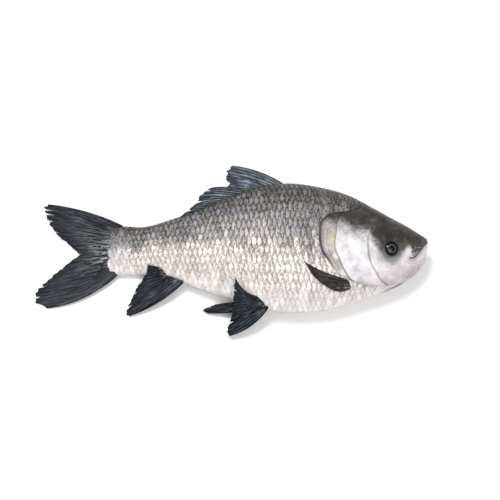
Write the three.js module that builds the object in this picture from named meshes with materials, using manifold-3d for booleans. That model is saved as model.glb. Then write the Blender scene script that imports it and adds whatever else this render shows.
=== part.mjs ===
// A whole raw carp lying on its left side: the body with both gill covers, both eyes and all of
// its fins. Millimetres, +X towards the snout, +Y towards the back, +Z up out of the right flank.
import * as THREE from "three";
import { ConvexGeometry } from "three/addons/geometries/ConvexGeometry.js";
import { mergeVertices } from "three/addons/utils/BufferGeometryUtils.js";
import Module from "manifold-3d";

const wasm = await Module();
wasm.setup();

// Body
const bodyLength = 393; // snout to the end of the scales
const bodyDepth = 156; // back to belly at the deepest
const bodyWidth = 80; // flank to flank at the thickest, before the left one is pressed flat
const roll = 12; // how much higher than the middle plane the back lies, and the belly lower
const backFullness = 2.15; // exponents of the superellipse of a cross section
const flankFullness = 2.05;
const clearance = 0.3; // round every piece, where it grows out of the body or sits in it
const aroundBody = 36; // facets round a cross section

// Cross sections: place along the body, back, belly, half width and height of the middle plane, in
// per cent of the length, the depth, the depth, and half the width for the last two.
const sections = [
  [0, 5, 5, 0, 72],
  [0.4, 8.8, -0.8, 16, 72],
  [1.2, 10.5, -7.8, 27, 72],
  [2.5, 11.7, -13.5, 39, 73],
  [4.5, 14.3, -18.9, 50, 75],
  [8, 18.4, -25, 64, 81],
  [12.5, 23.8, -30.9, 76, 85],
  [18, 31.2, -36, 87, 89],
  [25, 40.9, -42.1, 95, 90],
  [34, 47.8, -48, 100, 90],
  [44, 51.3, -49, 100, 90],
  [54, 48.7, -45, 92, 85],
  [64, 40.7, -35.4, 78, 75],
  [73, 32.5, -26.9, 60, 62],
  [81, 27.2, -18.4, 45, 48],
  [90, 23.2, -14.6, 31, 33],
  [96, 25.3, -15, 22, 24],
  [100, 26, -14.8, 8, 18],
];

// Rear edge of the gill cover: angle round the body from the back, place along it in per cent
const gillEdge = [
  [0, 21.5],
  [45, 22],
  [60, 25.5],
  [70, 32],
  [80, 34.4],
  [90, 34.8],
  [100, 34.2],
  [112, 31.8],
  [124, 29],
  [134, 25.5],
  [148, 19.5],
  [166, 11.5],
  [180, 8],
];
const gillLift = 2; // how far the free edge stands off the shoulder
const gillStep = 0.8; // along the body, from the free edge down to the shoulder
const headRings = 16;
const headSpacing = 1.6; // above 1, the rings of the head lie closer together towards the snout
const coverSwell = 2; // above 1, the gill cover stands off mostly near its free edge
const trunkRings = 26;

// Mouth: a slanting gape from the snout back to its corners
const gapeHigh = 2.4; // at the lips
const gapeTip = 0.6; // at the corners
const gapeCorner = { along: 6.8, across: -43 }; // per cent of the length and of the half depth
const gapeFront = 9.5; // height of the lips towards the back

// Eyes
const eyeRadius = 9;
const eyeDepth = 10; // from the top of the eye to its bottom in the head
const eyeDome = 1.5; // how far its top stands out of the head
const eyePlace = { along: 12.6, angle: 96 }; // per cent of the length, degrees from the back
const eyeFacets = 20;

// Fins. Each is a fan of rays: place across the fin from 0 to 1, root along the body in per cent,
// root across it in per cent of the half depth, root height over the middle plane, length,
// sweep and climb of the ray in degrees, and its bow.
const fins = {
  dorsal_fin: {
    colour: 0x3a3f47,
    columns: 22,
    root: 4.5,
    tip: 1.2,
    fray: 2,
    rays: [
      [0, 44.6, 95, 6, 76, 23, -1, 6],
      [0.1, 47.1, 94, 6, 68, 19, -1, 4],
      [0.2, 49.6, 93, 6, 58, 14, 0, 2.5],
      [0.29, 52.1, 92, 6, 43, 10, 0, 0.5],
      [0.34, 53.7, 92, 6, 52, 7, 1, 1],
      [0.48, 57.5, 91, 5, 52, 5, 2, 1],
      [0.64, 62.2, 92, 5, 44, -6, 0, 1],
      [0.8, 67.6, 91, 4, 33, -10, 4, 0],
      [1, 74.8, 88, 3, 15, -8, 8, 0],
    ],
  },
  tail_fin: {
    colour: 0x2b3038,
    columns: 26,
    root: 5,
    tip: 1.2,
    fray: 2.5,
    rays: [
      [0, 95.8, 94, 0, 109, 18, -5, 8],
      [0.06, 98.4, 90, 0, 102, 16.5, -4, 6],
      [0.14, 99.4, 79, 0, 95, 15, -4, 3],
      [0.22, 99.4, 58, 0, 88, 13, -4, 0],
      [0.32, 99.4, 33, 0, 75, 11, -4, 0],
      [0.42, 99.4, 8, 0, 57, 8, -6, 0],
      [0.5, 99.4, -9, 0, 42, 0, -6, 0],
      [0.58, 99.4, -25, 0, 57, -7, -5, 0],
      [0.68, 99.4, -46, 0, 73, -12, -4, 0],
      [0.78, 99.3, -67, 0, 89, -15, -3, -2],
      [0.88, 99.2, -79, 0, 100, -18, -3, -5],
      [0.95, 98.6, -87, 0, 102, -22, -3, -8],
      [1, 97.3, -90, 0, 98, -27, -3, -10],
    ],
  },
  anal_fin: {
    colour: 0x2b3038,
    columns: 14,
    root: 4,
    tip: 1.2,
    fray: 2,
    lies: "over",
    rays: [
      [0, 76.4, -96, 0, 83, -31, -10, -6],
      [0.12, 77.6, -95, 0, 81, -31, -10, -3],
      [0.3, 79.2, -94, 1, 65, -26, -13, -1],
      [0.5, 80.5, -92, 2, 49, -19, -13, 0],
      [0.66, 81.5, -90, 2, 34, -11, -10, 0],
      [0.82, 82.2, -88, 3, 24, 3, 1, 0],
      [1, 82.9, -86, 3, 22, 17, 18, 0],
    ],
  },
  right_pelvic_fin: {
    colour: 0x2b3038,
    columns: 14,
    root: 4.5,
    tip: 1.2,
    fray: 1.5,
    lies: "over",
    rays: [
      [0, 50, -95, 3, 63, -34, -19, -7],
      [0.12, 50.4, -94, 5, 62, -30, -21, -2.5],
      [0.35, 50.7, -93, 7, 50, -20, -19, -1],
      [0.55, 51.2, -92, 9, 40, -8, -5, 0],
      [0.75, 51.6, -91, 10, 38, 9, 13, 0],
      [1, 52.1, -90, 11, 42, 31, 30, 1],
    ],
  },
  left_pelvic_fin: {
    colour: 0x2b3038,
    columns: 10,
    root: 3.5,
    tip: 1.2,
    fray: 1.5,
    rays: [
      [0, 51.3, -94, -5, 73, -3, -13, -3],
      [0.5, 51.9, -92, -5, 77, -1, -13, 0],
      [1, 52.5, -90, -5, 60, 3, -16, 2],
    ],
  },
  right_pectoral_fin: {
    colour: 0x3d3936,
    columns: 12,
    root: 4,
    tip: 1.4,
    fray: 1,
    lies: "over",
    rays: [
      [0, 24.2, -74, 0, 63, 18, 0, -4],
      [0.35, 23.9, -78, 0, 60, 16, 0, -5],
      [0.7, 24, -82, 0, 53, 10, 0, -5],
      [1, 24.4, -85, 0, 34, 0, 0, -4],
    ],
  },
  left_pectoral_fin: {
    colour: 0x3d3936,
    columns: 10,
    root: 2.6,
    tip: 1.4,
    fray: 1,
    lies: "under",
    rays: [
      [0, 24.4, -48, 0, 62, -10, 0, 3],
      [0.5, 24.2, -56, 0, 60, -9, 0, 2],
      [1, 25, -64, 0, 40, -4, 0, 1],
    ],
  },
};
const finRows = 8; // from the root of a ray to its tip
const skinGap = 2.5; // a fin that lies over the flank, from its middle down to the skin
const rootDepth = 4; // how far such a fin starts under the skin
const rootReach = 0.25; // share of its rays over which it comes out
const floorGap = 0.1; // under what lies on the surface the fish lies on
const finRoughness = 0.5;
const skinRoughness = 0.35;
const eyeRoughness = 0.15;

const radians = THREE.MathUtils.degToRad;
const ease = (t) => THREE.MathUtils.smoothstep(t, 0, 1);

// A smooth curve through the rows' points: the first number of a row is the place along the curve.
function smoothThrough(rows) {
  const places = rows.map(([place]) => place);
  const values = rows.map(([, ...rest]) => rest);
  const steps = places.slice(1).map((place, i) => place - places[i]);
  const slope = (i, k) => (values[i + 1][k] - values[i][k]) / steps[i];
  const last = rows.length - 1;
  const tangent = (i, k) => {
    if (i === 0) return slope(0, k);
    if (i === last) return slope(last - 1, k);
    return (slope(i - 1, k) * steps[i] + slope(i, k) * steps[i - 1]) / (steps[i] + steps[i - 1]);
  };
  return (place) => {
    const i = Math.max(0, Math.min(last - 1, places.findLastIndex((start) => start <= place)));
    const t = (place - places[i]) / steps[i];
    const u = 1 - t;
    return values[i].map(
      (value, k) =>
        (1 + 2 * t) * u * u * value +
        t * u * u * steps[i] * tangent(i, k) +
        t * t * (3 - 2 * t) * values[i + 1][k] -
        t * t * u * steps[i] * tangent(i + 1, k),
    );
  };
}

// The sections follow the square root of the place along the body, which rounds the snout.
const sectionCurve = smoothThrough(sections.map(([along, ...rest]) => [Math.sqrt(along), ...rest]));
const gillCurve = smoothThrough(gillEdge);

function sectionAt(along) {
  const [back, belly, half, rise] = sectionCurve(Math.sqrt(along));
  return {
    middle: ((back + belly) / 200) * bodyDepth,
    halfDepth: ((back - belly) / 200) * bodyDepth,
    halfWidth: (half / 200) * bodyWidth,
    rise: (rise / 200) * bodyWidth,
    roll: (half / 100) * roll,
  };
}

// A point of the skin, at an angle in degrees from the back round over the right flank
function skinPoint(along, angle, lift, grow) {
  const s = sectionAt(along);
  const [c, n] = [Math.cos(radians(angle)), Math.sin(radians(angle))];
  const across = Math.sign(c) * Math.abs(c) ** (2 / backFullness);
  const out = Math.sign(n) * Math.abs(n) ** (2 / flankFullness);
  return [
    (-(bodyLength + grow) * along) / 100,
    s.middle + (s.halfDepth + lift + grow) * across,
    Math.max(s.rise + s.roll * across + (s.halfWidth + lift + grow) * out, -grow),
  ];
}

// Height of the right flank's skin over a point, or nothing beside the body
function flankHeight(x, y) {
  const along = (-x / bodyLength) * 100;
  if (along <= 0 || along >= 100) return -Infinity;
  const s = sectionAt(along);
  const across = (y - s.middle) / s.halfDepth;
  if (Math.abs(across) >= 1) return -Infinity;
  const out = (1 - Math.abs(across) ** backFullness) ** (1 / flankFullness);
  return s.rise + s.roll * across + s.halfWidth * out;
}

// One closed surface over a row of rings of points, shut at both ends by a fan to the end ring's
// middle, and facing outwards whichever way round the rings run
function loft(rings) {
  const middle = (ring) => [0, 1, 2].map((k) => ring.reduce((sum, p) => sum + p[k], 0) / ring.length);
  const around = rings[0].length;
  const points = [...rings.flat(), middle(rings[0]), middle(rings.at(-1))];
  const [first, last] = [points.length - 2, points.length - 1];
  const faces = [];
  for (let j = 0; j < around; j++) {
    const next = (j + 1) % around;
    for (let i = 0; i < rings.length - 1; i++) {
      const [a, b] = [i * around, (i + 1) * around];
      faces.push(a + j, b + j, b + next, a + j, b + next, a + next);
    }
    const end = (rings.length - 1) * around;
    faces.push(first, j, next, last, end + next, end + j);
  }
  const geometry = new THREE.BufferGeometry();
  geometry.setAttribute("position", new THREE.Float32BufferAttribute(points.flat(), 3));
  geometry.setIndex(faces);
  const solid = toSolid(geometry);
  return solid.volume() > 0 ? solid : toSolid(geometry.setIndex(faces.reverse()));
}

function toSolid(geometry) {
  geometry.deleteAttribute("normal");
  geometry.deleteAttribute("uv");
  const merged = mergeVertices(geometry);
  return new wasm.Manifold(
    new wasm.Mesh({
      numProp: 3,
      vertProperties: merged.attributes.position.array,
      triVerts: new Uint32Array(merged.index.array),
    }),
  );
}

// Head rings bend with the edge of the gill cover, and the first trunk ring is the step behind it.
function bodySolid(grow) {
  const ring = (place) =>
    Array.from({ length: aroundBody }, (_, j) => {
      const angle = (j / aroundBody) * 360;
      const edge = gillCurve(Math.min(angle, 360 - angle))[0];
      const { along, lift } = place(edge + (grow / bodyLength) * 100);
      return skinPoint(along, angle, lift, grow);
    });
  const step = (gillStep / bodyLength) * 100;
  const rings = [];
  for (let i = 1; i <= headRings; i++) {
    const share = i / headRings;
    const lift = gillLift * ease(share ** coverSwell);
    rings.push(ring((edge) => ({ along: edge * share ** headSpacing, lift })));
  }
  for (let i = 0; i <= trunkRings; i++) {
    const share = i / trunkRings;
    rings.push(ring((edge) => ({ along: edge + step + (100 - edge - step) * share, lift: 0 })));
  }
  return loft(rings);
}

function mouthGap() {
  const corner = sectionAt(gapeCorner.along);
  const back = new THREE.Vector2(
    (-bodyLength * gapeCorner.along) / 100,
    corner.middle + (corner.halfDepth * gapeCorner.across) / 100,
  );
  const front = new THREE.Vector2(gapeHigh, gapeFront);
  const side = front.clone().sub(back).normalize().rotateAround(new THREE.Vector2(), Math.PI / 2);
  const at = (point, offset) => point.clone().addScaledVector(side, offset);
  const outline = new THREE.Shape([
    at(front, -gapeHigh / 2),
    at(front, gapeHigh / 2),
    at(back, gapeTip / 2),
    at(back, -gapeTip / 2),
  ]);
  return toSolid(new THREE.ExtrudeGeometry(outline, { depth: bodyWidth, bevelEnabled: false }));
}

// A flattened ball that faces out of the head: side is 1 on the right and -1 on the left
function eyeMesh(name, side) {
  const angle = side * eyePlace.angle;
  const skin = (along, turn) => new THREE.Vector3(...skinPoint(along, turn, 0, 0));
  const top = skin(eyePlace.along, angle);
  const ahead = skin(eyePlace.along - 1, angle).sub(top);
  const round = skin(eyePlace.along, angle + side).sub(top);
  const out = ahead.cross(round).multiplyScalar(-side).normalize();
  const geometry = new THREE.SphereGeometry(eyeRadius, eyeFacets, eyeFacets / 2).rotateX(Math.PI / 2);
  geometry.scale(1, 1, eyeDepth / (2 * eyeRadius));
  const mesh = new THREE.Mesh(geometry, material(0x1d1f22, eyeRoughness));
  mesh.name = name;
  mesh.position.copy(top).addScaledVector(out, eyeDome - eyeDepth / 2);
  mesh.quaternion.setFromUnitVectors(new THREE.Vector3(0, 0, 1), out);
  return mesh;
}

// Middle of the fin's sheet, share of the way across the fin and reach of the way up its rays
function finPoint(fin, share, reach) {
  const [along, across, height, length, sweep, climb, bow] = fin.curve(share);
  const s = sectionAt(along);
  const [turn, tilt] = [radians(sweep), radians(climb)];
  const run = length * Math.cos(tilt) * reach;
  const aside = 4 * bow * reach * (1 - reach);
  const x = (-bodyLength * along) / 100 - run * Math.cos(turn) + aside * Math.sin(turn);
  const y = s.middle + (s.halfDepth * across) / 100 + run * Math.sin(turn) + aside * Math.cos(turn);
  const z = s.rise + (s.roll * across) / 100 + height + length * Math.sin(tilt) * reach;
  if (fin.lies === "under") return [x, y, 0];
  if (fin.lies !== "over") return [x, y, z];
  const gap = THREE.MathUtils.lerp(-rootDepth, skinGap, ease(reach / rootReach));
  return [x, y, Math.max(z, flankHeight(x, y) + gap)];
}

function finSolid(fin) {
  fin.curve = smoothThrough(fin.rays);
  const rings = Array.from({ length: fin.columns + 1 }, (_, i) => {
    const share = i / fin.columns;
    const end = 1 - ((i % 2) * fin.fray) / fin.curve(share)[3];
    const upper = [];
    const lower = [];
    for (let k = 0; k <= finRows; k++) {
      const reach = (end * k) / finRows;
      const half = THREE.MathUtils.lerp(fin.root, fin.tip, reach) / 2;
      const [x, y, z] = finPoint(fin, share, reach);
      const height = Math.max(z, half + floorGap);
      upper.push([x, y, height + half]);
      lower.unshift([x, y, height - half]);
    }
    return [...upper, ...lower];
  });
  return loft(rings);
}

// The room a piece needs in the body: its convex hull with the clearance all round
function roomFor(mesh) {
  mesh.updateMatrix();
  const corners = mesh.geometry.getAttribute("position");
  const shifts = [-clearance, clearance];
  const points = [];
  for (let i = 0; i < corners.count; i++) {
    const corner = new THREE.Vector3().fromBufferAttribute(corners, i).applyMatrix4(mesh.matrix);
    for (const x of shifts)
      for (const y of shifts)
        for (const z of shifts) points.push(new THREE.Vector3(x, y, z).add(corner));
  }
  return toSolid(new ConvexGeometry(points));
}

function largestPiece(solid) {
  return solid.decompose().sort((a, b) => b.volume() - a.volume())[0];
}

const material = (color, roughness) =>
  new THREE.MeshStandardMaterial({ color, roughness, metalness: 0 });

function toMesh(name, solid, colour, roughness) {
  const { numProp, vertProperties, triVerts } = solid.getMesh();
  const geometry = new THREE.BufferGeometry();
  const positions = new THREE.InterleavedBuffer(vertProperties, numProp);
  geometry.setAttribute("position", new THREE.InterleavedBufferAttribute(positions, 3, 0));
  geometry.setIndex(new THREE.BufferAttribute(triVerts, 1));
  geometry.computeVertexNormals();
  const mesh = new THREE.Mesh(geometry, material(colour, roughness));
  mesh.name = name;
  return mesh;
}

// The fins are cut off a little outside the skin, except one that lies pressed into the flank.
function finMesh(name, fin) {
  const whole = finSolid(fin);
  const solid = fin.lies === "under" ? whole : largestPiece(whole.subtract(bodySolid(clearance)));
  return toMesh(name, solid, fin.colour, finRoughness);
}

const finMeshes = Object.entries(fins).map(([name, fin]) => finMesh(name, fin));
const pressedFins = finMeshes.filter((mesh) => fins[mesh.name].lies === "under");
const eyes = [eyeMesh("right_eye", 1), eyeMesh("left_eye", -1)];

let body = bodySolid(0).subtract(mouthGap());
for (const mesh of [...eyes, ...pressedFins]) body = body.subtract(roomFor(mesh));

const group = new THREE.Group();
group.name = "whole_raw_fish";
group.add(toMesh("body", largestPiece(body), 0xb9b2ae, skinRoughness), ...eyes, ...finMeshes);

// The origin is the middle of the box round the fish, at the surface it lies on.
const box = new THREE.Box3().setFromObject(group, true);
const centre = box.getCenter(new THREE.Vector3());
group.position.set(-centre.x, -centre.y, -box.min.z);

export default group;
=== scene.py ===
# A whole raw carp lying on its left side on a pale table, seen from above its belly.
import math

import bpy
import numpy as np
from mathutils import Matrix, Vector


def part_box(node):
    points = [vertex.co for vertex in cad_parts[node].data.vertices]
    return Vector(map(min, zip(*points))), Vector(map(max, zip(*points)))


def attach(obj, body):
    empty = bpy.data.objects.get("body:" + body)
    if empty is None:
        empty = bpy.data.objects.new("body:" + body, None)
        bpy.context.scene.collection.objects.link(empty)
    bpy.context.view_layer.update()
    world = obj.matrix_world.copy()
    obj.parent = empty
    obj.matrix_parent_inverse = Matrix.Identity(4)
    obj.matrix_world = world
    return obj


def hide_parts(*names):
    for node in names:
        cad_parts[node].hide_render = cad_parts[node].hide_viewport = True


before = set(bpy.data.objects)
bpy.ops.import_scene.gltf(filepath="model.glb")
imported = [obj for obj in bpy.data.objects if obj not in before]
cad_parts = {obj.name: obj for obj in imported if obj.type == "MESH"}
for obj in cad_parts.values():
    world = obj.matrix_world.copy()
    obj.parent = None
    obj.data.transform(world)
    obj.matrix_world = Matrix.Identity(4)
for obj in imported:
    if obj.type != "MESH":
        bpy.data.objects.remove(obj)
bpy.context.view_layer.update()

mm = 0.001
collection = bpy.context.scene.collection


# camera

camera = {
    "target": (0, -0.00129, 0.036),
    "elevation": 68,  # degrees above the table, from the belly side
    "distance": 1.35,
    "aside": 0.02327,  # the fish sits a little left of the middle of the frame
    "down": 0.00147,
    "lens": 79.38,
}


def placeCamera():
    tilt = math.radians(camera["elevation"])
    back = Vector((0, -math.cos(tilt), math.sin(tilt)))
    up = Vector((0, math.sin(tilt), math.cos(tilt)))
    data = bpy.data.cameras.new("camera")
    data.lens = camera["lens"]
    data.sensor_width = 36
    item = bpy.data.objects.new("camera", data)
    turn = Matrix(((1, up.x, back.x), (0, up.y, back.y), (0, up.z, back.z)))
    place = Vector(camera["target"]) + back * camera["distance"] - up * camera["down"]
    place.x += camera["aside"]
    item.matrix_world = Matrix.Translation(place) @ turn.to_4x4()
    collection.objects.link(item)
    bpy.context.scene.camera = item


placeCamera()
print("camera placed")


# shape of the fish, in millimetres: x runs back from the snout as a minus number

fish = {
    "length": 393,  # snout to the end of the scales
    "depth": 156,  # back to belly at the deepest
    "width": 80,
    "roll": 12,  # the back lies this much higher than the middle plane, the belly lower
    "backFullness": 2.15,  # exponents of a cross section
    "flankFullness": 2.05,
}

# place along the body, back, belly, half width and height of the middle plane, in per cent
sections = [
    (0, 5, 5, 0, 72), (0.4, 8.8, -0.8, 16, 72), (1.2, 10.5, -7.8, 27, 72), (2.5, 11.7, -13.5, 39, 73),
    (4.5, 14.3, -18.9, 50, 75), (8, 18.4, -25, 64, 81), (12.5, 23.8, -30.9, 76, 85),
    (18, 31.2, -36, 87, 89), (25, 40.9, -42.1, 95, 90), (34, 47.8, -48, 100, 90),
    (44, 51.3, -49, 100, 90), (54, 48.7, -45, 92, 85), (64, 40.7, -35.4, 78, 75),
    (73, 32.5, -26.9, 60, 62), (81, 27.2, -18.4, 45, 48), (90, 23.2, -14.6, 31, 33),
    (96, 25.3, -15, 22, 24), (100, 26, -14.8, 8, 18), (104, 26.4, -14.8, 6, 16),
]

# rear edge of the gill cover: degrees round from the back, place along the body in per cent
gillEdge = [
    (0, 21.5), (45, 22), (60, 25.5), (70, 32), (80, 34.4), (90, 34.8), (100, 34.2), (112, 31.8),
    (124, 29), (134, 25.5), (148, 19.5), (166, 11.5), (180, 8),
]


# a smooth curve through the rows' points; the first number of a row is the place along it
def smoothThrough(rows):
    rows = np.array(rows, float)
    place, value = rows[:, 0], rows[:, 1:]
    step = np.diff(place)[:, None]
    slope = np.diff(value, axis=0) / step
    middle = (slope[:-1] * step[1:] + slope[1:] * step[:-1]) / (step[:-1] + step[1:])
    tangent = np.vstack([slope[:1], middle, slope[-1:]])

    def curve(at):
        at = np.asarray(at, float)
        i = np.clip(np.searchsorted(place, at, side="right") - 1, 0, len(step) - 1)
        h = step[i]
        t = (at[..., None] - place[i][..., None]) / h
        u = 1 - t
        bend = t * u * h * (u * tangent[i] - t * tangent[i + 1])
        return (1 + 2 * t) * u * u * value[i] + t * t * (3 - 2 * t) * value[i + 1] + bend

    return curve


def ease(t):
    t = np.clip(t, 0, 1)
    return t * t * (3 - 2 * t)


def bump(distance, width):
    return np.exp(-((distance / width) ** 2))


sectionCurve = smoothThrough([(math.sqrt(row[0]),) + row[1:] for row in sections])
gillCurve = smoothThrough(gillEdge)


def sectionAt(along):
    value = np.moveaxis(sectionCurve(np.sqrt(np.maximum(along, 0))), -1, 0)
    back, belly, half, rise = value / 200
    return {
        "middle": (back + belly) * fish["depth"],
        "halfDepth": (back - belly) * fish["depth"],
        "halfWidth": half * fish["width"],
        "rise": rise * fish["width"],
        "roll": half * 2 * fish["roll"],
    }


# a point of the skin, at an angle from the back round over the right flank
def skinPoint(along, angle):
    s = sectionAt(along)
    c, n = np.cos(np.radians(angle)), np.sin(np.radians(angle))
    across = np.sign(c) * np.abs(c) ** (2 / fish["backFullness"])
    out = np.sign(n) * np.abs(n) ** (2 / fish["flankFullness"])
    x = -fish["length"] * along / 100 + 0 * across
    y = s["middle"] + s["halfDepth"] * across
    return np.stack([x, y, s["rise"] + s["roll"] * across + s["halfWidth"] * out], -1)


def outwardAt(along, angle):
    a, e = np.maximum(along, 0.02), 0.01
    alongStep = skinPoint(a + e, angle) - skinPoint(a - e, angle)
    roundStep = skinPoint(a, angle + 0.5) - skinPoint(a, angle - 0.5)
    normal = np.cross(alongStep, roundStep)
    normal /= np.maximum(np.linalg.norm(normal, axis=-1, keepdims=True), 1e-9)
    return normal


# height of the right flank over a point, far below it beside the body
def flankHeight(x, y):
    along = np.clip(-x / fish["length"] * 100, 0.01, 104)
    s = sectionAt(along)
    across = (y - s["middle"]) / s["halfDepth"]
    inside = np.clip(np.abs(across), 0, 1)
    out = (1 - inside ** fish["backFullness"]) ** (1 / fish["flankFullness"])
    height = s["rise"] + s["roll"] * across + s["halfWidth"] * out
    beyond = (np.abs(across) >= 1) | (x >= 0) | (x <= -fish["length"])
    return np.where(beyond, -1e3, height)


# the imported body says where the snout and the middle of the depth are
def findOrigin():
    low, high = [np.array(corner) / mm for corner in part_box("body")]
    s = sectionAt(np.linspace(0, 100, 2001))
    top, bottom = (s["middle"] + s["halfDepth"]).max(), (s["middle"] - s["halfDepth"]).min()
    return np.array([low[0] + fish["length"], (low[1] + high[1] - top - bottom) / 2, 0])


origin = findOrigin()
print("shape origin", origin.round(2).tolist())


# small helpers for meshes and nodes

def makeObject(name, points, faces, edges=()):
    mesh = bpy.data.meshes.new(name)
    points = (np.asarray(points).reshape(-1, 3) + origin) * mm
    mesh.from_pydata(points.tolist(), list(edges), faces)
    mesh.update()
    item = bpy.data.objects.new(name, mesh)
    collection.objects.link(item)
    return item


def giveValues(item, name, values):
    values = np.asarray(values, np.float32)
    kind, key = ("FLOAT_VECTOR", "vector") if values.ndim > 1 else ("FLOAT", "value")
    layer = item.data.attributes.new(name, kind, "POINT")
    layer.data.foreach_set(key, values.ravel())


# quads between rows of points; closed rows join their last point to their first
def gridFaces(rows, columns, closed=True):
    i = np.arange(rows - 1)[:, None] * columns
    j = np.arange(columns if closed else columns - 1)[None, :]
    k = (j + 1) % columns
    return np.stack([i + j, i + k, i + columns + k, i + columns + j], -1).reshape(-1, 4).tolist()


def smooth(item):
    item.data.polygons.foreach_set("use_smooth", [True] * len(item.data.polygons))
    return item


# turns a mesh the right way out, judged by its volume
def faceOut(item):
    mesh = item.data
    mesh.calc_loop_triangles()
    points = np.zeros(len(mesh.vertices) * 3, np.float32)
    mesh.vertices.foreach_get("co", points)
    points = points.reshape(-1, 3).astype(float)
    corners = np.zeros(len(mesh.loop_triangles) * 3, np.int32)
    mesh.loop_triangles.foreach_get("vertices", corners)
    a, b, c = points[corners.reshape(-1, 3)].transpose(1, 0, 2)
    if np.einsum("ij,ij->i", a, np.cross(b, c)).sum() < 0:
        mesh.flip_normals()
    return item


def linearColour(code):
    parts = [int(code[i:i + 2], 16) / 255 for i in (1, 3, 5)]
    return [p / 12.92 if p <= 0.04045 else ((p + 0.055) / 1.055) ** 2.4 for p in parts] + [1.0]


# adds a node: its kind and operation, its inputs in order or by name, and its settings
def addNode(tree, kind, *inputs, **settings):
    kind, _, operation = kind.partition(" ")
    node = tree.nodes.new(kind)
    if operation:
        node.operation = operation
    for name, value in settings.items():
        if name == "stops":
            while len(node.color_ramp.elements) < len(value):
                node.color_ramp.elements.new(1)
            for element, (position, colour) in zip(node.color_ramp.elements, value):
                element.position, element.color = position, linearColour(colour)
        else:
            setattr(node, name, value)
    byName = inputs[0] if inputs and isinstance(inputs[0], dict) else dict(enumerate(inputs))
    for name, value in byName.items():
        if isinstance(value, bpy.types.Node):
            value = value.outputs[0]
        if isinstance(value, bpy.types.NodeSocket):
            tree.links.new(value, node.inputs[name])
        elif isinstance(value, str) and value.startswith("#"):
            node.inputs[name].default_value = linearColour(value)
        else:
            node.inputs[name].default_value = value
    return node


eased = {"interpolation_type": "SMOOTHSTEP"}  # for a range that starts and ends softly


def newMaterial(name):
    material = bpy.data.materials.new(name)
    material.use_nodes = True
    material.node_tree.nodes.clear()
    return material, material.node_tree


def newGeometryTree(name, sockets):
    tree = bpy.data.node_groups.new(name, "GeometryNodeTree")
    for title, kind in sockets:
        tree.interface.new_socket(title, in_out="INPUT", socket_type=kind)
    tree.interface.new_socket("Geometry", in_out="OUTPUT", socket_type="NodeSocketGeometry")
    return tree, tree.nodes.new("NodeGroupInput")


# runs a geometry tree on an object and keeps its result as a plain mesh
def runTree(item, tree, values):
    modifier = item.modifiers.new(tree.name, "NODES")
    modifier.node_group = tree
    for socket in tree.interface.items_tree:
        if socket.in_out == "INPUT" and socket.name in values:
            modifier[socket.identifier] = values[socket.name]
    item.update_tag()
    bpy.context.view_layer.update()
    graph = bpy.context.evaluated_depsgraph_get()
    mesh = bpy.data.meshes.new_from_object(item.evaluated_get(graph), depsgraph=graph)
    item.modifiers.clear()
    old, item.data = item.data, mesh
    bpy.data.meshes.remove(old)
    mesh.name = item.name
    return item


def putAway(*items):
    for item in items:
        bpy.data.objects.remove(item)


# places on the head: (place along the body in per cent, degrees from the back)

head = {
    "rings": 225,
    "ringSpacing": 1.5,  # above 1, rings lie closer together towards the snout
    "columnsRight": 160,
    "columnsLeft": 90,
    "gillLift": 2.0,  # the free edge of the gill cover over the shoulder
    "napeLift": 0.45,
    "gillThickness": 0.95,
    "gillTuck": 5.0,  # how far the slit goes in under the cover
    "underScales": 1.1,  # the trunk lies this far under the bed of the scales
    "scaleRoom": 1.3,  # room for the scales between the bed and the table
    "trunkRings": 110,
    "eye": (12.6, 96),
    "eyeRadius": 9,
    "gape": [
        (0.1, 0), (0.14, 25), (0.35, 55), (0.9, 77), (2.6, 97), (4.1, 109), (5.3, 114), (6.7, 113.5),
    ],
    "maxilla": [(3.0, 88), (4.1, 95), (4.9, 102), (5.7, 109)],
    "nostrils": [(10.1, 82), (8.9, 80.5)],
    "preopercle": [
        (18.2, 72), (19.9, 89), (19.9, 100), (19.6, 109), (18.7, 120), (17.3, 131), (15.9, 143),
        (13.6, 158),
    ],
    "opercle": [
        (25.8, 60), (27.2, 65), (28.6, 72), (29.3, 80), (29.6, 87), (30, 94), (29.9, 100), (28.9, 108),
        (27.8, 117), (26.3, 127), (25.0, 134), (22.6, 141),
    ],
    "membraneFold": [(32.0, 84), (32.4, 90), (32.2, 98), (31.5, 105), (30.4, 112), (28.8, 119)],
    "throat": [(22, 145), (20, 148), (16.2, 157), (11.4, 168), (8.6, 179)],
    "cheekCrease": [(14.9, 113), (12.6, 116), (10.0, 112)],
    "jaw": [(8.6, 119), (6.6, 125), (4.2, 130), (2.0, 130)],
    "darkBelow": [
        (0, 80), (1.6, 89), (3.9, 93), (6.2, 93), (7.4, 94), (8.6, 100), (10.3, 107), (12, 107),
        (13.7, 107), (15.2, 106), (17, 102), (18.4, 97), (19.4, 92), (20.8, 95), (22.3, 97),
        (23.7, 95), (25.3, 91), (28.4, 90), (31.6, 88), (35.1, 80),
    ],
}

# beside the lines of the head: height of a ridge or depth of a groove, how far off the line it is, its width
creases = {
    "gape": [(-1.7, 0, 0.75), (0.4, 1.9, 1.1)],
    "maxilla": [(0.5, 0, 2.6)],
    "nostrils": [(-1.5, 0, 0.9), (0.45, 1.9, 0.7)],
    "membraneFold": [(-0.45, 0, 0.7), (0.5, 1.3, 1.1)],
    "throat": [(-0.9, 0, 0.9), (0.3, 2.2, 1.4)],
    "jaw": [(-0.45, 0, 0.9)],
    "cheekCrease": [(-0.35, 0, 0.8)],
}

# how dark the painted shade in such a groove, slit or pit is drawn, and how wide
creaseShade = {
    "gape": (0.95, 0.95), "nostrils": (0.9, 1.0), "membraneFold": (0.28, 0.8), "throat": (0.25, 0.9),
    "jaw": (0.25, 0.8), "cheekCrease": (0.2, 0.8),
}

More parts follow.
